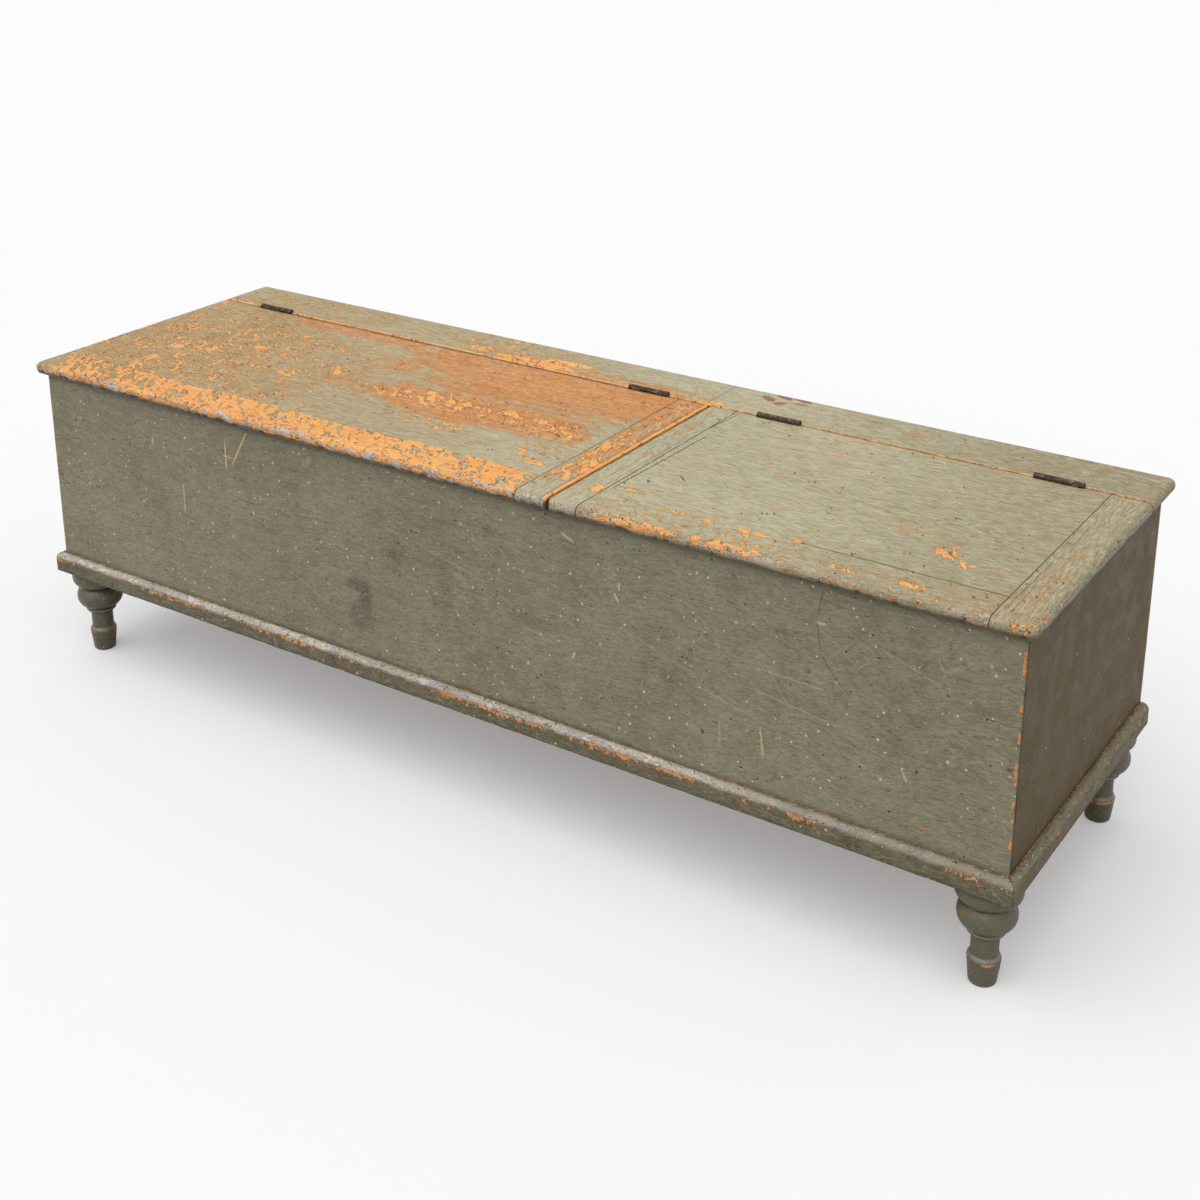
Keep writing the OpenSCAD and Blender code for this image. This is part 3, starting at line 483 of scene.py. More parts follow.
def old_paint(name, order, tones, slant=(0.0, 1.0), dash=0.14, flake_size=15.0, cloudy=0.5, brushed=0.40,
              brush_spacing=3.5, mottle=0.42, cream=(0.0, 0.08), nicks=0.05, dirt=0.35, strokes=(),
              gloss=0.45, shine=0.3):
    """Old oil paint over pine: brushed colour, loss in flakes, rubbed places, specks, cracks, grime, and
    painted shade and highlight.

    order puts the grain along X; slant turns and lengthens the flakes, dash lengthens the fine marks; cream
    is the share and radius of pale dots. The other values say how strong, or how far apart, marks are.
    """
    made, bench, shader = start_material(name)
    place = bench.millimetres()
    along = turned(bench, place, order)
    wander = bench.vector("SUBTRACT", bench.noise(along, 0.2, 2.0)["Color"], (0.5, 0.5, 0.5))
    ragged = bench.moved(along, bench.scaled(wander, 3.0))
    slant_place = slanted(bench, ragged, *slant)
    dash_place = bench.stretched(ragged, (dash, 1.0, 1.0))
    chipped, worn_thin, battered_and_glints = (bench.mark(mark) for mark in ("chipped", "rubbed", "battered_and_glints"))
    grain = bench.use("wood_grain", Vector=along, Spacing=9.0)
    broad = bench.use("clouds", Vector=place, Size=210.0)["Share"]
    small = bench.use("clouds", Vector=place, Size=34.0)["Share"]
    ridges = bench.use("brush_marks", Vector=along, Spacing=brush_spacing)["Ridges"]
    fine = bench.noise(dash_place, 0.42, 3.0, 0.6)["Fac"]

    colour = bench.coat(broad, cloudy, tones["paint"], tones["dark"])
    colour = bench.coat(small, cloudy * 0.5, colour, tones["pale"])
    colour = bench.mix(bench.mark("browned"), colour, tones["brown"])
    # painted shade: darker where less light falls, on the right of the top and rail and on the half-round
    # edge
    colour = bench.mix(bench.times(bench.mark("painted_shade"), 0.8), colour, tones["dull"])
    colour = bench.mix(bench.fade(ridges, 0.5, 1.0, 0.0, brushed), colour, tones["pale"])
    colour = bench.mix(bench.fade(ridges, 0.5, 0.0, 0.0, brushed), colour, tones["dull"])
    colour = bench.mix(bench.fade(fine, 0.50, 0.64, 0.0, mottle), colour, tones["dull"])
    colour = bench.mix(bench.fade(fine, 0.50, 0.36, 0.0, mottle), colour, tones["pale"])
    for size, shift, share, tone in HAIRLINE_LAYERS:
        moved = bench.moved(place, (shift, 0.0, 0.0))
        hairs = bench.use("hairlines", Vector=moved, Size=size, Width=HAIRLINE_WIDTH / size)["Mask"]
        colour = bench.coat(hairs, share, colour, tones[tone])
    # chalky pale paint, partly painted highlight, on the marked places
    chalk = bench.mix(bench.fade(fine, 0.44, 0.56), tones["chalk"], tones["chalk_warm"])
    colour = bench.mix(bench.mark("chalked"), colour, chalk)

    bare_wood = bench.coat(grain["Lines"], 0.6, tones["bare"], tones["bare_mid"])
    bare_wood = bench.mix(bench.fade(fine, 0.52, 0.66, 0.0, 0.6), bare_wood, tones["rubbed"])
    bare_wood = bench.mix(bench.fade(fine, 0.46, 0.36, 0.0, 0.5), bare_wood, tones["cream"])
    bare_wood = bench.coat(grain["Pores"], 0.55, bare_wood, tones["bare_dark"])
    hatch = bench.use("hairlines", Vector=slant_place, Size=20.0, Width=0.035)["Mask"]
    bare_wood = bench.coat(hatch, 0.75, bare_wood, tones["hatch"])
    thin = bench.coat(grain["Lines"], 0.8, tones["rubbed"], tones["grain"])
    thin = bench.coat(grain["Pores"], 0.6, thin, tones["bare_dark"])
    thin = bench.mix(bench.fade(fine, 0.50, 0.60, 0.0, 0.55), thin, tones["brown"])
    thin = bench.mix(bench.fade(fine, 0.48, 0.36, 0.0, 0.6), thin, tones["bare"])
    thin = bench.coat(hatch, 0.5, thin, tones["hatch"])
    thin_level = bench.plus(worn_thin, bench.times(bench.minus(small, 0.5), 0.4))
    thin_level = bench.plus(thin_level, bench.times(bench.minus(grain["Lines"], 0.5), 0.3))
    thin_level = bench.math("MULTIPLY_ADD", bench.minus(fine, 0.5), 1.8, thin_level)
    colour = bench.mix(bench.fade(thin_level, 0.22, 0.78), colour, thin)

    flakes = bench.use("paint_flakes", Vector=slant_place, Worn=chipped, Size=flake_size)
    nick_share = bench.math("MULTIPLY_ADD", chipped, 0.9, nicks - 0.06)
    nick = bench.use("specks", Vector=dash_place, Size=6.0, Share=nick_share, Radius=0.25)["Mask"]
    # dark rims round lifted flakes: dirt and painted shade
    colour = bench.coat(flakes["Rim"], 0.9, colour, tones["rim"])
    bare = bench.larger(flakes["Bare"], nick)
    colour = bench.mix(bare, colour, bare_wood)
    pit_share = bench.math("MULTIPLY_ADD", battered_and_glints, 0.6, dirt * 0.5)
    pits = bench.use("specks", Vector=slant_place, Size=9.0, Share=pit_share, Radius=0.17)["Mask"]
    dashes = bench.use("specks", Vector=dash_place, Size=6.0, Share=dirt, Radius=0.2)["Mask"]
    colour = bench.coat(dashes, 0.6, colour, tones["hatch"])
    colour = bench.coat(pits, 0.8, colour, tones["bare_dark"])
    # pale patches on the battered edges: chips, and painted glints, with dark rims
    pale_chips_and_glints = bench.use("paint_flakes", Vector=bench.moved(ragged, (300.0, 0.0, 0.0)), Size=12.0,
                      Stretch=(0.5, 1.0, 1.0), Worn=bench.times(battered_and_glints, 0.49))
    colour = bench.coat(pale_chips_and_glints["Bare"], 0.8, colour, bench.mix(small, COLD_CHIP_AND_GLINT, WARM_CHIP_AND_GLINT))
    colour = bench.coat(pale_chips_and_glints["Rim"], 0.9, colour, tones["pit"])
    cream_share, cream_radius = cream
    if cream_share:
        dots = bench.use("specks", Vector=ragged, Size=14.0, Share=cream_share, Radius=cream_radius)["Mask"]
        colour = bench.coat(dots, 0.9, colour, tones["cream"])
    near = bench.moved(place, bench.scaled(wander, 3.0)) if strokes else None
    for start, end, width, tone, share in strokes:
        line = bench.use("stroke", Vector=near, Start=start, End=end, Width=width)["Mask"]
        colour = bench.coat(line, share, colour, tone)
    # grime, and painted shade where the marks put it: in gaps, under edges and in grooves
    grime_and_shade_share = bench.times(bench.mark("grimed"), bench.fade(small, 0.0, 1.0, 0.8, 1.0))
    colour = bench.mix(grime_and_shade_share, colour, bench.mix(0.85, colour, GRIME_AND_SHADE))
    pine = bench.use("aged_pine", Vector=along)
    colour = bench.mix(bench.mark("inside"), colour, pine["Colour"])
    bench.wire(colour, shader.inputs["Base Color"])

    dull = bench.fade(small, 0.0, 1.0, gloss - 0.08, gloss + 0.08)
    dull = bench.math("ADD", dull, bench.times(bare, 0.14), clamp=True)
    bench.wire(dull, shader.inputs["Roughness"])
    shader.inputs["Specular IOR Level"].default_value = shine

    height = bench.times(bare, -0.0005)
    height = bench.math("MULTIPLY_ADD", flakes["Rim"], 0.0001, height)
    height = bench.math("MULTIPLY_ADD", grain["Lines"], 0.00012, height)
    height = bench.math("MULTIPLY_ADD", ridges, 0.00022, height)
    height = bench.math("MULTIPLY_ADD", fine, 0.0006, height)
    bumped(bench, shader, height)
    return made


# ---------------------------------------------------------------- finishes

CRACK_DARK = rgb(34, 26, 18)
SCRATCH_PALE = rgb(222, 192, 144)
SMUDGE_RED = rgb(146, 76, 58)


def shades(base=(), **colours):
    """The tones of a finish by name: those of the base, with the given screen colours put in."""
    return dict(base, **{name: rgb(*colour) for name, colour in colours.items()})


LID_TONES = shades(
    paint=(182, 173, 138), dark=(160, 150, 114), pale=(206, 199, 166), dull=(132, 120, 84),
    brown=(172, 136, 76), bare=(255, 187, 104), bare_mid=(232, 143, 68), bare_dark=(60, 42, 28),
    rubbed=(218, 146, 80), grain=(180, 112, 56), hatch=(126, 76, 40), rim=(76, 60, 40), pit=(50, 42, 34),
    cream=(228, 204, 160), chalk=(170, 176, 180), chalk_warm=(224, 206, 184))
CASE_TONES = shades(
    paint=(149, 143, 119), dark=(128, 120, 96), pale=(172, 168, 142), dull=(98, 92, 70),
    brown=(120, 104, 76), bare=(238, 166, 106), bare_mid=(196, 136, 82), bare_dark=(44, 36, 28),
    rubbed=(160, 130, 92), grain=(122, 92, 60), hatch=(110, 74, 46), rim=(66, 56, 42), pit=(56, 48, 38),
    cream=(244, 208, 158), chalk=(180, 180, 172), chalk_warm=(228, 206, 180))
# paint of the end boards: browner, and darker as painted shade for the ends, which face away from the lamp
BROWN_AND_SHADED_END_TONES = shades(CASE_TONES, paint=(106, 90, 56), dark=(92, 78, 46), pale=(124, 110, 76), dull=(74, 62, 38))
MOULDING_TONES = shades(
    CASE_TONES, paint=(112, 108, 84), dark=(94, 88, 64), pale=(150, 146, 120), dull=(66, 58, 40))
# paint of the side mouldings: browner, and darker as painted shade as on the end boards
BROWN_AND_SHADED_SIDE_MOULDING_TONES = shades(
    MOULDING_TONES, paint=(106, 90, 56), chalk=(146, 142, 120), chalk_warm=(178, 160, 128))
FOOT_TONES = shades(
    CASE_TONES, paint=(100, 95, 70), dark=(78, 70, 46), pale=(132, 130, 108), dull=(56, 48, 30),
    rubbed=(140, 104, 62), brown=(104, 84, 52))


def on_top(tone, *lines):
    """Strokes of one tone on the upper face: x and y of both ends, width and strength."""
    return [((x, y, TOP_HIGH), (end_x, end_y, TOP_HIGH), width, tone, strength)
            for x, y, end_x, end_y, width, strength in lines]


def on_front(tone, *lines):
    """Strokes of one tone on the front board: x and z of both ends, width and strength."""
    return [((x, CASE_FRONT, z), (end_x, CASE_FRONT, end_z), width, tone, strength)
            for x, z, end_x, end_z, width, strength in lines]


LID_STROKES = on_top(
    CRACK_DARK, (246, 176, 236, 60, 1.6, 0.9), (236, 60, 232, 20, 1.4, 0.6), (252, 60, 243, -222, 1.8, 0.9),
    (300, -108, 318, -124, 2.6, 0.7), (270, -148, 276, -158, 4.0, 0.7),
) + on_top(LID_TONES["bare_mid"], (445, 100, 490, 82, 4.0, 0.7))
CLEAT_STROKES = [((225, -287, 558), (228, -150, TOP_HIGH), 1.4, CRACK_DARK, 0.7)] + on_top(
    CRACK_DARK, (228, -150, 231, 60, 1.2, 0.5), (862, -270, 864, -90, 1.2, 0.6),
    (872, -280, 871, -170, 1.2, 0.5), (868, -40, 866, 90, 1.0, 0.4),
) + on_top(
    LID_TONES["grain"], (213, -200, 217, -40, 2.0, 0.6), (206, 20, 210, 110, 2.4, 0.6),
    (880, -200, 878, -60, 1.2, 0.6), (890, -240, 886, -130, 1.6, 0.7))
RAIL_STROKES = on_top(CRACK_DARK, (176, 290, 176, 178, 1.6, 0.6)) + on_top(
    SMUDGE_RED, (238, 264, 262, 250, 15.0, 0.85), (254, 284, 284, 272, 13.0, 0.85),
    (284, 286, 318, 274, 14.0, 0.8), (268, 242, 284, 250, 14.0, 0.75), (296, 258, 318, 262, 10.0, 0.6))
FRONT_STROKES = on_front(
    SCRATCH_PALE, (-472, 503, -472, 452, 3.0, 0.9), (-422, 528, -458, 466, 3.0, 0.9),
    (-478, 477, -455, 477, 2.4, 0.8), (-578, 402, -578, 350, 3.2, 0.7), (-645, 475, -645, 460, 3.4, 0.8),
    (200, 507, 222, 497, 3.6, 0.9), (300, 455, 300, 442, 3.4, 0.8), (292, 434, 299, 425, 4.4, 0.9),
    (224, 322, 219, 311, 3.6, 0.9), (533, 295, 539, 250, 3.0, 0.7), (467, 290, 471, 245, 2.4, 0.35),
    (612, 480, 625, 480, 3.6, 0.9), (500, 355, 660, 335, 1.6, 0.35), (510, 387, 640, 383, 1.4, 0.35),
    (430, 330, 560, 300, 1.4, 0.35), (520, 420, 585, 330, 1.4, 0.35), (660, 300, 745, 268, 1.4, 0.35),
    (300, 385, 425, 345, 1.4, 0.3), (-60, 420, 60, 392, 1.4, 0.3), (-330, 300, -250, 262, 1.4, 0.3),
    (700, 470, 790, 440, 1.4, 0.3), (745, 300, 752, 286, 4.0, 0.7),
) + on_front(
    CRACK_DARK, (620, 530, 612, 485, 0.9, 0.6), (612, 485, 620, 435, 0.9, 0.6),
    (620, 435, 645, 403, 0.9, 0.6), (645, 403, 672, 382, 0.9, 0.4))

# turn and length of the flakes: on the long boards, and on the cleats, whose grain runs across
BOARD_SLANT, CLEAT_SLANT = (0.98, 2.1), (0.59, 2.1)

lid_paint = old_paint("lid_paint", "xyz", LID_TONES, BOARD_SLANT, strokes=LID_STROKES, nicks=0.075, dirt=0.42)
cleat_paint = old_paint("cleat_paint", "yxz", LID_TONES, CLEAT_SLANT, strokes=CLEAT_STROKES, nicks=0.09)
rail_paint = old_paint("rail_paint", "xyz", LID_TONES, BOARD_SLANT, strokes=RAIL_STROKES)
front_paint = old_paint(
    "front_paint", "xzy", CASE_TONES, dash=0.3, cloudy=0.8, brushed=0.16, brush_spacing=7.0, mottle=0.34,
    cream=(0.9, 0.125), nicks=0.02, dirt=0.28, strokes=FRONT_STROKES)
brown_and_shaded_end_paint = old_paint(
    "brown_and_shaded_end_paint", "yzx", BROWN_AND_SHADED_END_TONES, brushed=0.14, brush_spacing=7.0, mottle=0.24, cream=(0.10, 0.12),
    nicks=0.0, dirt=0.2, shine=0.12)
moulding_paint = old_paint(
    "moulding_paint", "xzy", MOULDING_TONES, dash=0.45, flake_size=9.0, mottle=0.35, cream=(0.4, 0.13))
brown_and_shaded_side_moulding_paint = old_paint(
    "brown_and_shaded_side_moulding_paint", "yzx", BROWN_AND_SHADED_SIDE_MOULDING_TONES, dash=0.45, flake_size=9.0, mottle=0.35, shine=0.22)
foot_paint = old_paint(
    "foot_paint", "xzy", FOOT_TONES, dash=0.6, flake_size=7.0, brushed=0.1, mottle=0.3, dirt=0.2, gloss=0.30,
    shine=0.7)


def make_bare_pine(name, order):
    """Unpainted pine inside the trunk."""
    made, bench, shader = start_material(name)
    pine = bench.use("aged_pine", Vector=turned(bench, bench.millimetres(), order))
    bench.wire(pine["Colour"], shader.inputs["Base Color"])
    shader.inputs["Roughness"].default_value = 0.68
    bumped(bench, shader, pine["Height"])
    return made


def make_iron(name):
    """Dark wrought iron with rust brown, and pale streaks along X, partly worn iron and partly painted
    highlight.
    """
    made, bench, shader = start_material(name)
    place = bench.millimetres()
    rust = bench.use("clouds", Vector=place, Size=9.0)["Share"]
    fine = bench.noise(place, 0.9, 4.0, 0.65)["Fac"]
    worn_and_highlight_streak = bench.noise(bench.stretched(place, (0.12, 0.6, 0.6)), 1.0, 2.0)["Fac"]
    colour = bench.mix(rust, rgb(54, 43, 38), rgb(78, 58, 46))
    colour = bench.mix(bench.fade(fine, 0.55, 0.7), colour, rgb(44, 36, 31))
    # pale streaks along X: worn iron, and painted highlight on the round knuckles
    colour = bench.mix(bench.fade(worn_and_highlight_streak, 0.60, 0.68), colour, rgb(168, 148, 128))
    bench.wire(colour, shader.inputs["Base Color"])
    bench.wire(bench.fade(fine, 0.3, 0.7, 0.42, 0.7), shader.inputs["Roughness"])
    shader.inputs["Metallic"].default_value = 0.45
    bumped(bench, shader, bench.times(fine, 0.0006))
    return made


def make_painted_nail(name, tones):
    """Nail head under old paint, with rust coming through."""
    made, bench, shader = start_material(name)
    place = bench.millimetres()
    fine = bench.noise(place, 0.5, 3.0, 0.6)["Fac"]
    rust = bench.use("clouds", Vector=place, Size=30.0)["Share"]
    colour = bench.mix(fine, tones["paint"], tones["dark"])
    colour = bench.mix(bench.fade(rust, 0.55, 0.9, 0.0, 0.7), colour, rgb(92, 66, 46))
    bench.wire(colour, shader.inputs["Base Color"])
    bench.wire(bench.fade(rust, 0.0, 1.0, 0.5, 0.7), shader.inputs["Roughness"])
    bumped(bench, shader, bench.times(fine, 0.0003))
    return made


pine_along, pine_across = make_bare_pine("pine_along", "xyz"), make_bare_pine("pine_across", "yxz")
hinge_iron = make_iron("hinge_iron")
nail_iron = make_iron("nail_iron")
lid_nail_paint = make_painted_nail("lid_nail_paint", LID_TONES)
case_nail_paint = make_painted_nail("case_nail_paint", CASE_TONES)


# ---------------------------------------------------------------- wear


def patches(points, spots, across=1):
    """How deep the points lie in soft elliptical spots: (x, y, half length, half width, strength).

    On an upright face across is 2, and each y stands for z.
    """
    level = np.zeros(len(points))
    for x, y, reach_x, reach_y, strength in spots:
        away = np.hypot((points[:, 0] - x) / reach_x, (points[:, across] - y) / reach_y)
        level = np.maximum(level, strength * fade(away, 1.0, 0.45))
    return level


def between(value, low, high, soft):
    """1 from low to high, fading out over soft on either side."""
    return fade(value, low - soft, low + soft) * fade(value, high + soft, high - soft)


WORN_BAND = -219  # the front band that is worn down to the wood reaches back to here

# where paint is lost, where it is rubbed thin, and where it has browned
TOP_CHIPPED = [
    (-745, -75, 90, 80, 0.50), (-600, -75, 110, 55, 0.48), (-503, -86, 36, 26, 0.60),
    (-650, -15, 60, 26, 0.54), (-560, -20, 50, 26, 0.48), (-800, 60, 130, 150, 0.38),
    (-560, -190, 330, 44, 0.42), (-760, -170, 150, 70, 0.46), (-140, -50, 235, 56, 0.53),
    (-310, -62, 90, 38, 0.52), (30, -60, 100, 64, 0.51), (-150, -140, 130, 36, 0.44),
    (-420, -40, 110, 60, 0.42), (70, -150, 60, 70, 0.40), (92, -188, 34, 10, 0.72),
    (-230, 40, 60, 24, 0.45), (225, -215, 14, 25, 0.70), (215, -60, 12, 24, 0.50), (205, 140, 12, 24, 0.44),
    (213, 40, 10, 40, 0.40), (490, -232, 44, 12, 0.66), (525, -264, 54, 11, 0.62),
    (420, -232, 30, 10, 0.60), (365, -225, 28, 9, 0.58), (270, -198, 34, 12, 0.54),
    (640, -264, 32, 14, 0.54), (740, -262, 34, 16, 0.52), (738, -140, 34, 34, 0.46),
    (770, -165, 22, 20, 0.48), (550, -222, 24, 9, 0.60), (480, -283, 110, 12, 0.52),
    (320, -287, 120, 12, 0.52), (700, -103, 24, 10, 0.50), (660, -90, 34, 34, 0.36),
    (882, -150, 30, 160, 0.34), (890, -272, 30, 26, 0.46), (400, -245, 260, 40, 0.28),
    (-190, 196, 160, 24, 0.66), (-300, 208, 60, 18, 0.60), (-120, 222, 80, 18, 0.62),
    (-790, 240, 70, 30, 0.36), (-700, 255, 50, 20, 0.38), (-650, 262, 30, 16, 0.38),
    (-350, 222, 34, 22, 0.44), (60, 190, 150, 14, 0.48), (140, 218, 24, 24, 0.44), (185, 188, 40, 10, 0.56),
    (530, 235, 40, 26, 0.42), (-260, 250, 240, 50, 0.34),
]
TOP_RUBBED = [
    (-90, 110, 430, 120, 1.0), (80, 150, 120, 70, 0.95), (-250, 110, 200, 80, 0.8),
    (-520, 158, 260, 36, 0.9), (-110, 34, 230, 70, 0.7), (40, 40, 110, 80, 0.6), (-560, 40, 22, 30, 0.5),
    (-200, 205, 220, 34, 0.55), (-120, -58, 330, 84, 0.92), (-330, 60, 160, 60, 0.5),
    (20, 200, 240, 26, 0.6), (-380, -60, 120, 50, 0.4),
]
TOP_BROWNED = [
    (-800, -40, 330, 420, 1.0), (-560, -60, 260, 300, 0.75), (-300, -60, 300, 120, 0.5),
    (-700, 240, 300, 90, 0.75), (-300, 235, 400, 90, 0.4), (-250, -180, 320, 70, 0.4),
    (-150, 60, 420, 160, 0.55),
]


def on_nose(points):
    """1 on the half-round edge of the top, 0 a little way in."""
    return fade(np.minimum(TOP_END - np.abs(points[:, 0]), TOP_DEEP - np.abs(points[:, 1])), 13, 4)


def knocks(points):
    """Where the edge of the top has been knocked and has lost a chip."""
    return fade(rough(points, 9, 9), 0.2, 0.6) * on_nose(points) * fade(points[:, 1], 150, 60)


def top_marks(points):
    """Wear of the whole top: flaked front band, rubbed middle, chipped arrises, grime in the joints; painted
    shade under its edge, in the gaps and to the right, and painted highlight on the front edge.
    """
    x, y, z = points.T
    nose, knocked = on_nose(points), knocks(points)
    left, lids = fade(x, GAP_MIDDLE, GAP_MIDDLE - 3), fade(y, AXIS_Y, AXIS_Y - 2)
    rail_arris = between(y, AXIS_Y, 180 + 2.5 * fade(x, 300, 100), 1) * fade(z, 551, 555)

    left_lid = 0.12 + left * (0.08 + 0.22 * fade(x, -250, -600) * fade(y, 150, 60))
    band = between(y, -300, WORN_BAND + 6 * rough(points, 50, 15), 4) * between(x, -872, LEFT_INNER, 8)
    band *= 0.60 + 0.05 * fade(x, -760, -600) + 0.06 * rough(points, 60, 13)
    right_band = 0.26 * between(y, -300, WORN_BAND, 4) * fade(x, RIGHT_INNER - 8, RIGHT_INNER)
    inner_cleat = between(x, LEFT_INNER + 4, LEFT_EDGE, 5) * fade(y, -255, -205) * lids
    inner_cleat *= 0.42 + 0.10 * rough(points, 40, 29) + 0.08 * fade(y, 60, -100)
    outer_cleat = 0.42 * between(x, -905, LEFT_OUTER, 6) * fade(y, AXIS_Y, 170)
    chipped = most(left_lid, patches(points, TOP_CHIPPED), band, right_band, inner_cleat, outer_cleat)
    chipped += nose * (0.06 + 0.06 * rough(points, 45, 11)) + 0.12 * knocked
    gap_arris = between(x, LEFT_EDGE - 6, RIGHT_EDGE + 3, 1.5) * fade(z, 552, 556) * left * lids
    chipped = most(chipped, rail_arris * (0.46 + 0.24 * fade(x, 300, 100)), 0.9 * gap_arris)
    chipped *= 1 - fade(z, 552, 546) * nose * 0.5

    rubbed_cleat = between(x, LEFT_INNER + 2, LEFT_EDGE, 3) * fade(y, -262, -190) * lids
    rubbed_cleat *= 0.74 + 0.3 * rough(points * (1, 0.25, 1), 16, 27)
    rubbed = most(patches(points, TOP_RUBBED), rubbed_cleat) * most(left, 0.8 * fade(y, AXIS_Y, RAIL_FRONT))

    # painted shade on the lower half of the half-round edge, along a ragged line, and darker down to the
    # underside; dark in the knocks
    low_edge = z + 2.5 * rough(points * (0.5, 0.5, 1), 11, 49)
    grimed = most(0.68 * fade(low_edge, 551, 547.5) * nose, 0.6 * fade(z, 549, 541.5))
    grimed += 0.45 * knocked * fade(z, 560, 553)
    # painted shade down the gap by the rail and in the gap between the lids; dark lines in the board joints
    lid_back_edge = fade(y, 171 - 7 * between(x, -810, 100, 40), 173) * fade(y, 177.8, RAIL_FRONT)
    gap = between(x, LEFT_EDGE - 3, RIGHT_EDGE + 3, 0.3) * fade(z, 559.5, 556.5)
    front_seam = 0.85 * fade(np.abs(y - LID_SEAM), 1.8, 0.8) * between(x, 560, RIGHT_OUTER, 20)
    grimed = most(grimed, lid_back_edge, gap, front_seam)
    for seam, share in ((LEFT_INNER, 0.2), (LEFT_EDGE - 8, 0.6), (RIGHT_INNER, 0.75), (RIGHT_OUTER, 0.5)):
        grimed = most(grimed, share * fade(np.abs(x - seam), 1.4, 0.6) * lids)

    # chalky paint and painted highlight along the middle of the front half-round edge
    chalked = nose * between(z, 552, 561, 2) * fade(rough(points, 30, 17), -0.1, 0.5) * fade(y, -275, -285)
    browned = patches(points, TOP_BROWNED) * (1 + 0.25 * rough(points, 80, 19))
    # painted shade: the right part of the top and rail darker, and the half-round edge a little darker
    painted_shade = 0.62 * fade(x, 420, 800) + 0.35 * fade(y, 178, 186) * fade(x, 200, 500) + 0.25 * nose
    covered = fade(np.abs(x), 894, 888) * between(y, CASE_FRONT + 8, CASE_BACK - 8, 3)
    return {"chipped": chipped, "rubbed": most(rubbed, 0.95 * rail_arris), "grimed": grimed,
            "chalked": 0.45 * chalked, "browned": np.clip(browned, 0, 1), "painted_shade": np.clip(painted_shade, 0, 1),
            # dark pits and pale patches, partly painted glints, on the half-round edge, most at the front
            # left
            "battered_and_glints": nose * (0.62 + 0.36 * left * fade(y, 0, -200)),
            "inside": covered * fade(z, 542.6, 541.8)}


# ---------------------------------------------------------------- lids and rail


def top_slab(points):
    """Distance field of the whole top: half-round edges and softly rounded corners."""
    reach = np.abs(points[:, :2]) - (TOP_END - TOP_CORNER, TOP_DEEP - TOP_CORNER)
    beyond = np.hypot(*np.maximum(reach, 0).T) + np.minimum(reach.max(axis=1), 0) - TOP_CORNER
    height = points[:, 2] - (TOP_LOW + TOP_HIGH) / 2
    return np.hypot(np.maximum(beyond + NOSE, 0), height) - NOSE


def hinge_notch(points, x):
    """Distance field of the room that a hinge takes in the lid's and the rail's edges."""
    past_end = np.abs(points[:, 0] - x) - HINGE_HALF
    barrel = np.hypot(points[:, 1] - AXIS_Y, points[:, 2] - AXIS_Z) - KNUCKLE_ROOM
    leaf = np.maximum(np.abs(points[:, 1] - AXIS_Y) - LEAF_ROOM, LEAF_LOW - points[:, 2])
    return np.maximum(past_end, np.minimum(barrel, leaf))


def make_top_board(node, body, low, high, material, seams, step_x=8.0, step_y=8.0, arris=1.0):
    """One board of the top; seams gives how far it draws back at its left, front, right and back."""
    bottom = TOP_LOW if body == "case" else LID_LOW
    hinges = [x for x in HINGES if low[0] < x < high[0] and (high[1] == LID_BACK or low[1] == RAIL_FRONT)]
    cut_x = [x + side * (HINGE_HALF + past)
             for x in hinges for side in (-1, 1) for past in (-NEAR_CUT, NEAR_CUT)]
    cut_y = [AXIS_Y + side * (LEAF_ROOM + past)
             for side in (-1, 1) for past in (-NEAR_CUT, NEAR_CUT, 1.2, 2.4) if hinges]
    cut_z = [LEAF_LOW - NEAR_CUT, LEAF_LOW + NEAR_CUT] if hinges else ()
    points, faces = lattice(rows(low[0], high[0], step_x, cut_x), rows(low[1], high[1], step_y, cut_y),
                            rows(bottom, TOP_HIGH, 4, cut_z))

    def field(p):
        wave = 0.10 * (1 + rough(p, 90, 3)) + 0.14 * (1 + rough(p, 17, 5))
        solid = top_slab(p) + wave + 0.8 * knocks(p)
        solid = rounded_max(solid, bottom - p[:, 2], 0.8)
        ragged = 0.25 * (1 + rough(p, 12, 7))
        edges = (low[0] - p[:, 0], low[1] - p[:, 1], p[:, 0] - high[0], p[:, 1] - high[1])
        for edge, gap in zip(edges, seams):
            if gap is not None:
                solid = rounded_max(solid, edge + gap + ragged * 0.4, arris + ragged)
        for x in hinges:
            solid = np.maximum(solid, -hinge_notch(p, x))
        return solid

    points = wear_down(points, (*low, bottom), (*high, TOP_HIGH), field)
    return make_piece(node, points, faces, body, material, top_marks(points))


def make_lid(lid, end, outer, inner, edge, inner_seam):
    """The four boards of a lid, between its outer end, the two cleats' joints and its edge at the gap."""
    fine = 3.5

    def board(name, front, back, ends, seams, front_seam, back_seam, material, **steps):
        (left, left_seam), (right, right_seam) = sorted(zip(ends, seams))
        make_top_board(f"{lid}_{name}", lid, (left, front), (right, back), material,
                       (left_seam, front_seam, right_seam, back_seam), **steps)

    main_ends, main_seams = (outer, inner), (0.1, inner_seam)
    board("main_board", LID_SEAM, LID_BACK, main_ends, main_seams, 0.1, 0, lid_paint)
    board("front_board", -TOP_DEEP, LID_SEAM, main_ends, main_seams, None, 0.1, lid_paint, step_x=fine)
    board("outer_cleat", -TOP_DEEP, LID_BACK, (end, outer), (None, 0.1), None, 0, cleat_paint, step_y=fine)
    board("inner_cleat", -TOP_DEEP, LID_BACK, (inner, edge), (inner_seam, 0), None, 0, cleat_paint,
          step_y=fine, arris=1.6)


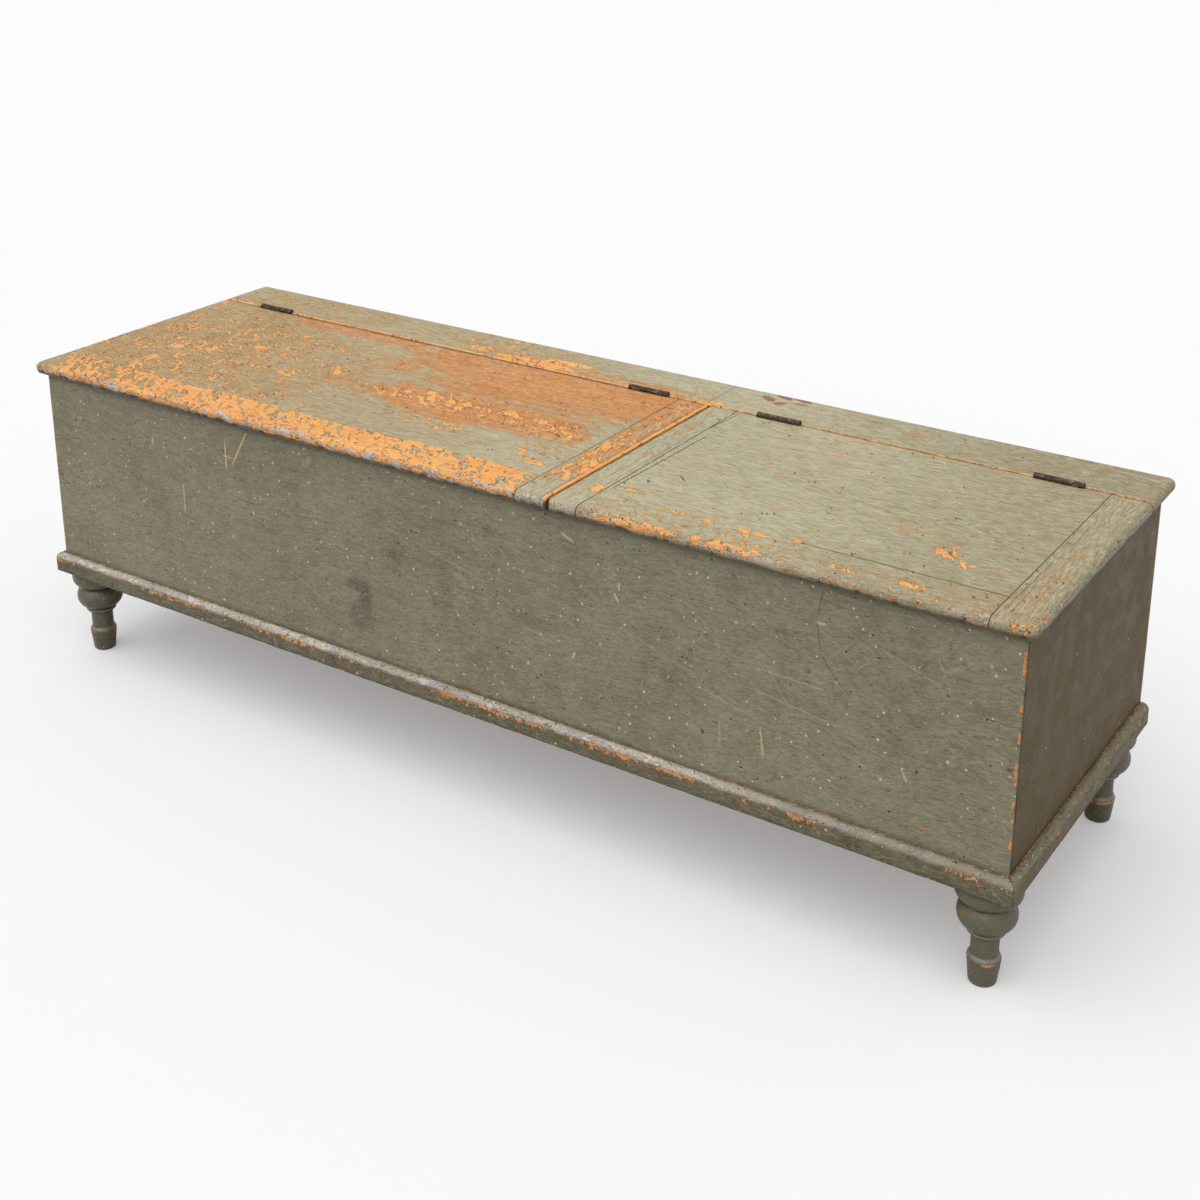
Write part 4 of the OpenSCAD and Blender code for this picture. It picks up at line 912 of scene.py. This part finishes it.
make_lid("left_lid", -TOP_END, LEFT_OUTER, LEFT_INNER, LEFT_EDGE, 0.3)
make_lid("right_lid", TOP_END, RIGHT_OUTER, RIGHT_INNER, RIGHT_EDGE, 0.4)
make_top_board("back_rail", "case", (-TOP_END, RAIL_FRONT), (TOP_END, TOP_DEEP), rail_paint,
               (None, 0, None, None), step_x=7.0, arris=2.2)


# ---------------------------------------------------------------- walls


FRONT_STAINS = [
    (-195, 318, 30, 16, 0.55), (-178, 300, 18, 40, 0.55), (-192, 262, 36, 34, 0.4),
    (-330, 455, 30, 12, 0.3), (70, 478, 14, 12, 0.4), (-120, 390, 14, 12, 0.35), (480, 500, 30, 18, 0.2),
    (150, 350, 60, 16, 0.25),
]


def wall_marks(points):
    """Wear of the case: chipped upright arrises, dark corner joints, stains, and painted shade below the
    top's edge and above the moulding.
    """
    x, y, z = points.T
    arris = np.hypot(CASE_END - np.abs(x), np.minimum(y - CASE_FRONT, CASE_BACK - y))
    chipped = 0.05 + 0.75 * fade(arris, 6, 2) * fade(rough(points, 9, 21), -0.2, 0.1)
    stains = patches(points, FRONT_STAINS, across=2) * fade(y, -268, -272)
    joint = fade(np.abs(y - CASE_FRONT - CORNER_LIP + 1), 4.0, 2.4) * fade(np.abs(x), 898.2, 899.0)
    # painted shade under the overhanging top and in the corner above the moulding, with the stains and dark
    # joints
    grimed = most(0.55 * fade(z, 526, TOP_LOW), 0.45 * fade(z, 206, 197), stains, joint)
    room = WALL - 3
    inner = between(x, room - CASE_END, CASE_END - room, 1)
    inner *= between(y, CASE_FRONT + room, CASE_BACK - room, 1)
    return {"chipped": chipped, "grimed": grimed, "inside": most(inner, fade(z, 539, 540.5))}


def make_wall(node, low, high, material, side_arris, lip_y=None):
    """One wall board of the case; a long wall is stepped back behind its end lips at lip_y."""
    lip_x = CASE_END - WALL
    cut_x = [side * lip_x + past for side in (-1, 1) for past in (-NEAR_CUT, NEAR_CUT) if lip_y]
    points, faces = lattice(
        rows(low[0], high[0], 12, cut_x), rows(low[1], high[1], 12), rows(low[2], high[2], 4))
    middle, half = np.add(low, high) / 2, np.subtract(high, low) / 2

    def field(p):
        along, across, up = (np.abs(p - middle) - half).T
        solid = np.maximum(across, up) + 0.15 * (1 + rough(p, 120, 25))
        return rounded_max(solid, along, side_arris + 0.4 * (1 + rough(p, 14, 23)))

    points = wear_down(points, low, high, field)
    if lip_y:
        hidden = np.abs(points[:, 0]) > lip_x
        inward = np.maximum(points[:, 1], lip_y) if lip_y > 0 else np.minimum(points[:, 1], lip_y)
        points[:, 1] = np.where(hidden, inward, points[:, 1])
    return make_piece(node, points, faces, "case", material, wall_marks(points))


LIP_FRONT, LIP_BACK = CASE_FRONT + CORNER_LIP, CASE_BACK - CORNER_LIP
make_wall("front_board", (-CASE_END, CASE_FRONT, CASE_BASE), (CASE_END, CASE_FRONT + WALL, TOP_LOW),
          front_paint, 1.4, LIP_FRONT)
make_wall("back_board", (-CASE_END, CASE_BACK - WALL, CASE_BASE), (CASE_END, CASE_BACK, TOP_LOW),
          front_paint, 1.4, LIP_BACK)
for node, left in (("left_end_board", -CASE_END), ("right_end_board", CASE_END - WALL)):
    make_wall(node, (left, LIP_FRONT, CASE_BASE), (left + WALL, LIP_BACK, TOP_LOW), brown_and_shaded_end_paint, 0.6)


# ---------------------------------------------------------------- base mouldings


MOULDING_CHIPPED = [(x, -287, reach, 20, 0.56) for x, reach in (
    (-560, 60), (-330, 50), (-215, 30), (40, 110), (150, 50), (300, 90), (402, 60), (420, 30), (620, 40),
    (850, 50))]


def moulding_marks(points):
    """Wear of the base moulding: bare line at the wall, chalky crest with painted highlight, chipped arris
    and lower edge, darker towards the bottom.
    """
    x, y, z = points.T
    out = np.maximum(np.abs(x) - CASE_END, CASE_FRONT - y)
    chipped = 0.14 + 0.34 * fade(out, 3.0, 1.2) * fade(z, 193, 195)
    arris = between(z, 180, 189, 2) * fade(rough(points, 60, 31), -0.6, 0.5)
    chipped += 0.48 * arris * fade(rough(points, 9, 51), 0.0, 0.25) + 0.1 * between(z, 178, 190, 2)
    chipped += 0.44 * fade(z, 168, 163) * fade(rough(points, 16, 33), 0.1, 0.4)
    chipped = np.maximum(chipped, patches(points, MOULDING_CHIPPED) * (0.35 + 0.65 * between(z, 182, 190, 2)))
    front = fade(y, CASE_FRONT + 2, CASE_FRONT - 2)
    # chalky paint and painted highlight along the crest, strongest at the front and towards the left
    crest = between(z + 1.5 * rough(points, 12, 53), 188.5, 197, 1.2) * fade(out, 1.5, 3.5)
    chalked = crest * (0.3 + 0.5 * front * fade(x, 800, 300))
    # darker towards the bottom; pale chips on the crest, partly painted glints
    return {"chipped": chipped, "grimed": 0.35 * fade(z, 170, CASE_BASE),
            "chalked": chalked * (1 + 0.3 * rough(points, 40, 39)), "browned": 0.2 * (1 - front),
            "battered_and_glints": crest * (0.6 + 0.35 * front * fade(x, 700, 200))}


def make_moulding(node, low, high, material):
    """One length of base moulding with its rounded crest, mitred at the front corners."""
    points, faces = lattice(rows(low[0], high[0], 4), rows(low[1], high[1], 4), rows(low[2], high[2], 3))

    def field(p):
        x, y, z = np.abs(p[:, 0]), p[:, 1], p[:, 2]
        outer = rounded_max(x - OUT_END, OUT_FRONT - y, 5)
        outer = outer + 0.3 * (1 + rough(p, 70, 33)) + 0.2 * (1 + rough(p, 11, 35))
        solid = rounded_max(outer, z - MOULDING_TOP, MOULDING_ROUND)
        solid = rounded_max(solid, CASE_BASE - z, 1.5 + rough(p, 20, 37))
        mitre = (x + y - CASE_END - CASE_FRONT) / math.sqrt(2)
        if low[0] + high[0] == 0:
            return most(solid, y - CASE_FRONT, mitre + MITRE_GAP)
        return most(solid, CASE_END - x, MITRE_GAP - mitre, y - CASE_BACK)

    points = wear_down(points, low, high, field)
    return make_piece(node, points, faces, "case", material, moulding_marks(points))


MITRE_GAP = 0.1
OUT_END, OUT_FRONT = CASE_END + MOULDING_OUT, CASE_FRONT - MOULDING_OUT
make_moulding("front_base_moulding", (-OUT_END, OUT_FRONT, CASE_BASE), (OUT_END, CASE_FRONT, MOULDING_TOP),
              moulding_paint)
for node, left in (("left_base_moulding", -OUT_END), ("right_base_moulding", CASE_END)):
    make_moulding(node, (left, OUT_FRONT, CASE_BASE), (left + MOULDING_OUT, CASE_BACK, MOULDING_TOP),
                  brown_and_shaded_side_moulding_paint)


# ---------------------------------------------------------------- feet


def arc(centre, radius, first, last, count):
    """Points of an arc, angles in degrees."""
    angles = np.radians(np.linspace(first, last, count))
    return [(centre[0] + radius * math.cos(a), centre[1] + radius * math.sin(a)) for a in angles]


def foot_profile():
    """Half outline of a turned foot from the floor to the case: peg, neck, thin ring, ball and collar."""
    neck, ball_out, ball_round = 19.9, 17, 24.5
    collar, collar_round, top = 47, 15.5, CASE_BASE

    def reached(radius, middle, size):
        return math.degrees(math.acos((radius - middle) / size))

    outline = [(0, 0), (10, 0), *arc((16.3, 4), 4, -90, 0, 6)]
    outline += arc((14, 37.5), 10, 0, reached(neck, 14, 10), 10) + [(neck, RING_Z - 6)]
    outline += arc((24, RING_Z), RING_ROUND, -80, 70, 9) + [(24, RING_Z + RING_ROUND)]
    outline += arc((ball_out, BALL_Z), ball_round, -reached(25, ball_out, ball_round),
                   reached(33.5, ball_out, ball_round), 26)
    outline += [(32.2, GROOVE_Z), *arc((collar - collar_round, 146), collar_round, -75, 0, 14)]
    outline = np.array(outline + [(collar, top), (20, top), (0, top)])
    run = np.concatenate([[0], np.cumsum(np.hypot(*np.diff(outline, axis=0).T))])
    even = np.arange(0, run[-1], 1.2)
    return np.stack([np.interp(even, run, outline[:, 0]), np.interp(even, run, outline[:, 1])], 1)


def foot_marks(points, axis):
    """Wear of a foot: rubbed belly, chipped peg, painted shade in the grooves and under the case, darker at
    the floor, and painted highlight on the ring and the peg.
    """
    z = points[:, 2]
    radius = np.hypot(points[:, 0] - axis[0], points[:, 1] - axis[1])
    chipped = 0.08 + 0.62 * fade(np.abs(z - PEG_Z), 3.5, 1) * fade(rough(points, 12, 43), -0.5, 0.2)
    floor_edge = fade(np.abs(z - FLOOR_EDGE_Z), 5, 2) * fade(rough(points, 9, 47), 0.1, 0.5)
    rubbed = 0.46 * fade(radius, 35, 40) * fade(z, 132, 118) * fade(rough(points, 24, 45), -0.5, 0.4)
    over_ring, under_ring = RING_Z + RING_ROUND, 77
    # painted shade in the grooves and where the foot meets the case; darker at the floor
    grimed = most(0.9 * fade(np.abs(z - GROOVE_Z), 2.4, 0.5), 0.9 * fade(np.abs(z - over_ring), 1.6, 0.4),
                  0.5 * fade(np.abs(z - under_ring), 4, 1), 0.8 * fade(z, 150, 161), 0.5 * fade(z, 5, 0))
    # painted highlight on the thin ring and on the peg's arris
    glint = 0.25 * most(fade(np.abs(z - 84), 3, 1), fade(np.abs(z - 43), 3, 1))
    return {"chipped": most(chipped, 0.5 * floor_edge), "rubbed": rubbed, "grimed": grimed, "chalked": glint}


def make_foot(node, axis, seed):
    """One turned foot with the small unevenness of age."""
    profile = foot_profile()[1:-1]
    count = 72
    angles = np.arange(count) * 2 * math.pi / count
    ring = np.stack([np.cos(angles), np.sin(angles)], 1)
    points = np.concatenate([np.column_stack([ring * r, np.full(count, z)]) for r, z in profile])
    wave = 0.35 * (1 + rough(points, 22, seed)) + 0.2 * (1 + rough(points, 6, seed + 1))
    radius = np.maximum(np.hypot(points[:, 0], points[:, 1]), 1e-6)
    points[:, :2] *= (1 - wave * fade(radius, 4, 12) / radius)[:, None]
    points[:, :2] += axis
    here = np.arange(count)
    after = (here + 1) % count
    strip = np.stack([here, after, after + count, here + count], 1)
    faces = np.concatenate([strip + level * count for level in range(len(profile) - 1)])
    return make_piece(node, points, faces, "case", foot_paint, foot_marks(points, axis))


make_foot("front_left_foot", (-FOOT_X, FOOT_FRONT), 41)
make_foot("front_right_foot", (FOOT_X, FOOT_FRONT), 51)
make_foot("rear_left_foot", (-FOOT_X, FOOT_BACK), 61)
make_foot("rear_right_foot", (FOOT_X, FOOT_BACK), 71)


# ---------------------------------------------------------------- finishes of the solids that stay


def finish_solid(material, *names, bevel=0.0):
    """Gives the named solids their material and, where it shows, slightly softened arrises."""
    for name in names:
        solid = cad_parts[name]
        solid.data.materials.clear()
        solid.data.materials.append(material)
        if bevel:
            soft = solid.modifiers.new("softened_arrises", "BEVEL")
            soft.width = bevel * METRE
            soft.segments = 2
            soft.limit_method = "ANGLE"
            soft.angle_limit = SHARP_ANGLE


finish_solid(pine_along, "front_bottom_board", "middle_bottom_board", "rear_bottom_board")
finish_solid(pine_across, "divider_board", "left_foot_batten", "right_foot_batten", "middle_batten")
finish_solid(hinge_iron, *[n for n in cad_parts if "hinge" in n], bevel=0.6)
finish_solid(lid_nail_paint, "rail_nails", "left_lid_cleat_nails", "right_lid_cleat_nails")
finish_solid(case_nail_paint, "front_corner_nails", "back_corner_nails", "moulding_nails",
             "bottom_edge_nails", "batten_nails", "divider_nails")
finish_solid(nail_iron, "bottom_board_nails")


# ---------------------------------------------------------------- floor, light and camera


BACKDROP = (0.965, 0.965, 0.968, 1)
FLOOR_TO_LAMPS = (0.34, 0.33, 0.32, 1)  # the floor's colour where it throws light back on the trunk
WORLD_TO_TRUNK = (0.50, 0.50, 0.51, 1)


def seen_share(bench, path):
    """1 to the camera and 0.6 in reflections, where the pale backdrop shows; 0 where only light counts."""
    return bench.larger(path["Is Camera Ray"], bench.times(path["Is Glossy Ray"], 0.6))


def make_floor():
    """Plain pale floor that looks white to the camera and keeps the trunk's soft shadow."""
    made = bpy.data.materials.new("pale_floor")
    made.use_nodes = True
    made.node_tree.nodes.clear()
    bench = Bench(made.node_tree)
    path = bench.node("ShaderNodeLightPath").outputs
    shader = bench.node("ShaderNodeBsdfDiffuse")
    bench.wire(bench.mix(seen_share(bench, path), FLOOR_TO_LAMPS, BACKDROP), shader.inputs["Color"])
    lit = bench.node("ShaderNodeEmission")
    lit.inputs["Color"].default_value = BACKDROP
    both = bench.node("ShaderNodeMixShader")
    bench.wire(bench.times(path["Is Camera Ray"], 0.25), both.inputs[0])
    bench.wire(shader.outputs[0], both.inputs[1])
    bench.wire(lit.outputs[0], both.inputs[2])
    bench.wire(both.outputs[0], bench.node("ShaderNodeOutputMaterial").inputs["Surface"])
    mesh = bpy.data.meshes.new("pale_floor")
    reach = 30
    corners = [(-reach, -reach, 0), (reach, -reach, 0), (reach, reach, 0), (-reach, reach, 0)]
    mesh.from_pydata(corners, [], [(0, 1, 2, 3)])
    mesh.materials.append(made)
    floor = bpy.data.objects.new("pale_floor", mesh)
    bpy.context.scene.collection.objects.link(floor)


def make_light():
    """Even low light from all round, and one wide soft lamp from above, in front and the left."""
    world = bpy.data.worlds.new("studio")
    bpy.context.scene.world = world
    world.use_nodes = True
    world.node_tree.nodes.clear()
    bench = Bench(world.node_tree)
    path = bench.node("ShaderNodeLightPath").outputs
    back = bench.node("ShaderNodeBackground")
    bench.wire(bench.mix(seen_share(bench, path), WORLD_TO_TRUNK, BACKDROP), back.inputs["Color"])
    bench.wire(back.outputs[0], bench.node("ShaderNodeOutputWorld").inputs["Surface"])
    lamp = bpy.data.lights.new("soft_lamp", "SUN")
    lamp.energy = 1.78
    lamp.angle = math.radians(75)
    soft = bpy.data.objects.new("soft_lamp", lamp)
    soft.rotation_euler = (math.radians(25), math.radians(-4), 0)
    bpy.context.scene.collection.objects.link(soft)


def make_camera():
    """Camera at the photograph's viewing angle."""
    data = bpy.data.cameras.new("photo_camera")
    data.lens = 53.48
    data.sensor_width = 36
    data.shift_y = -0.21667
    camera = bpy.data.objects.new("photo_camera", data)
    camera.location = (1.55195, -2.2059, 1.56615)
    camera.rotation_euler = (math.radians(90 - 18.015), 0, math.radians(33.604))
    bpy.context.scene.collection.objects.link(camera)
    bpy.context.scene.camera = camera


make_floor()
make_light()
make_camera()
bpy.context.scene.view_settings.view_transform = "Standard"
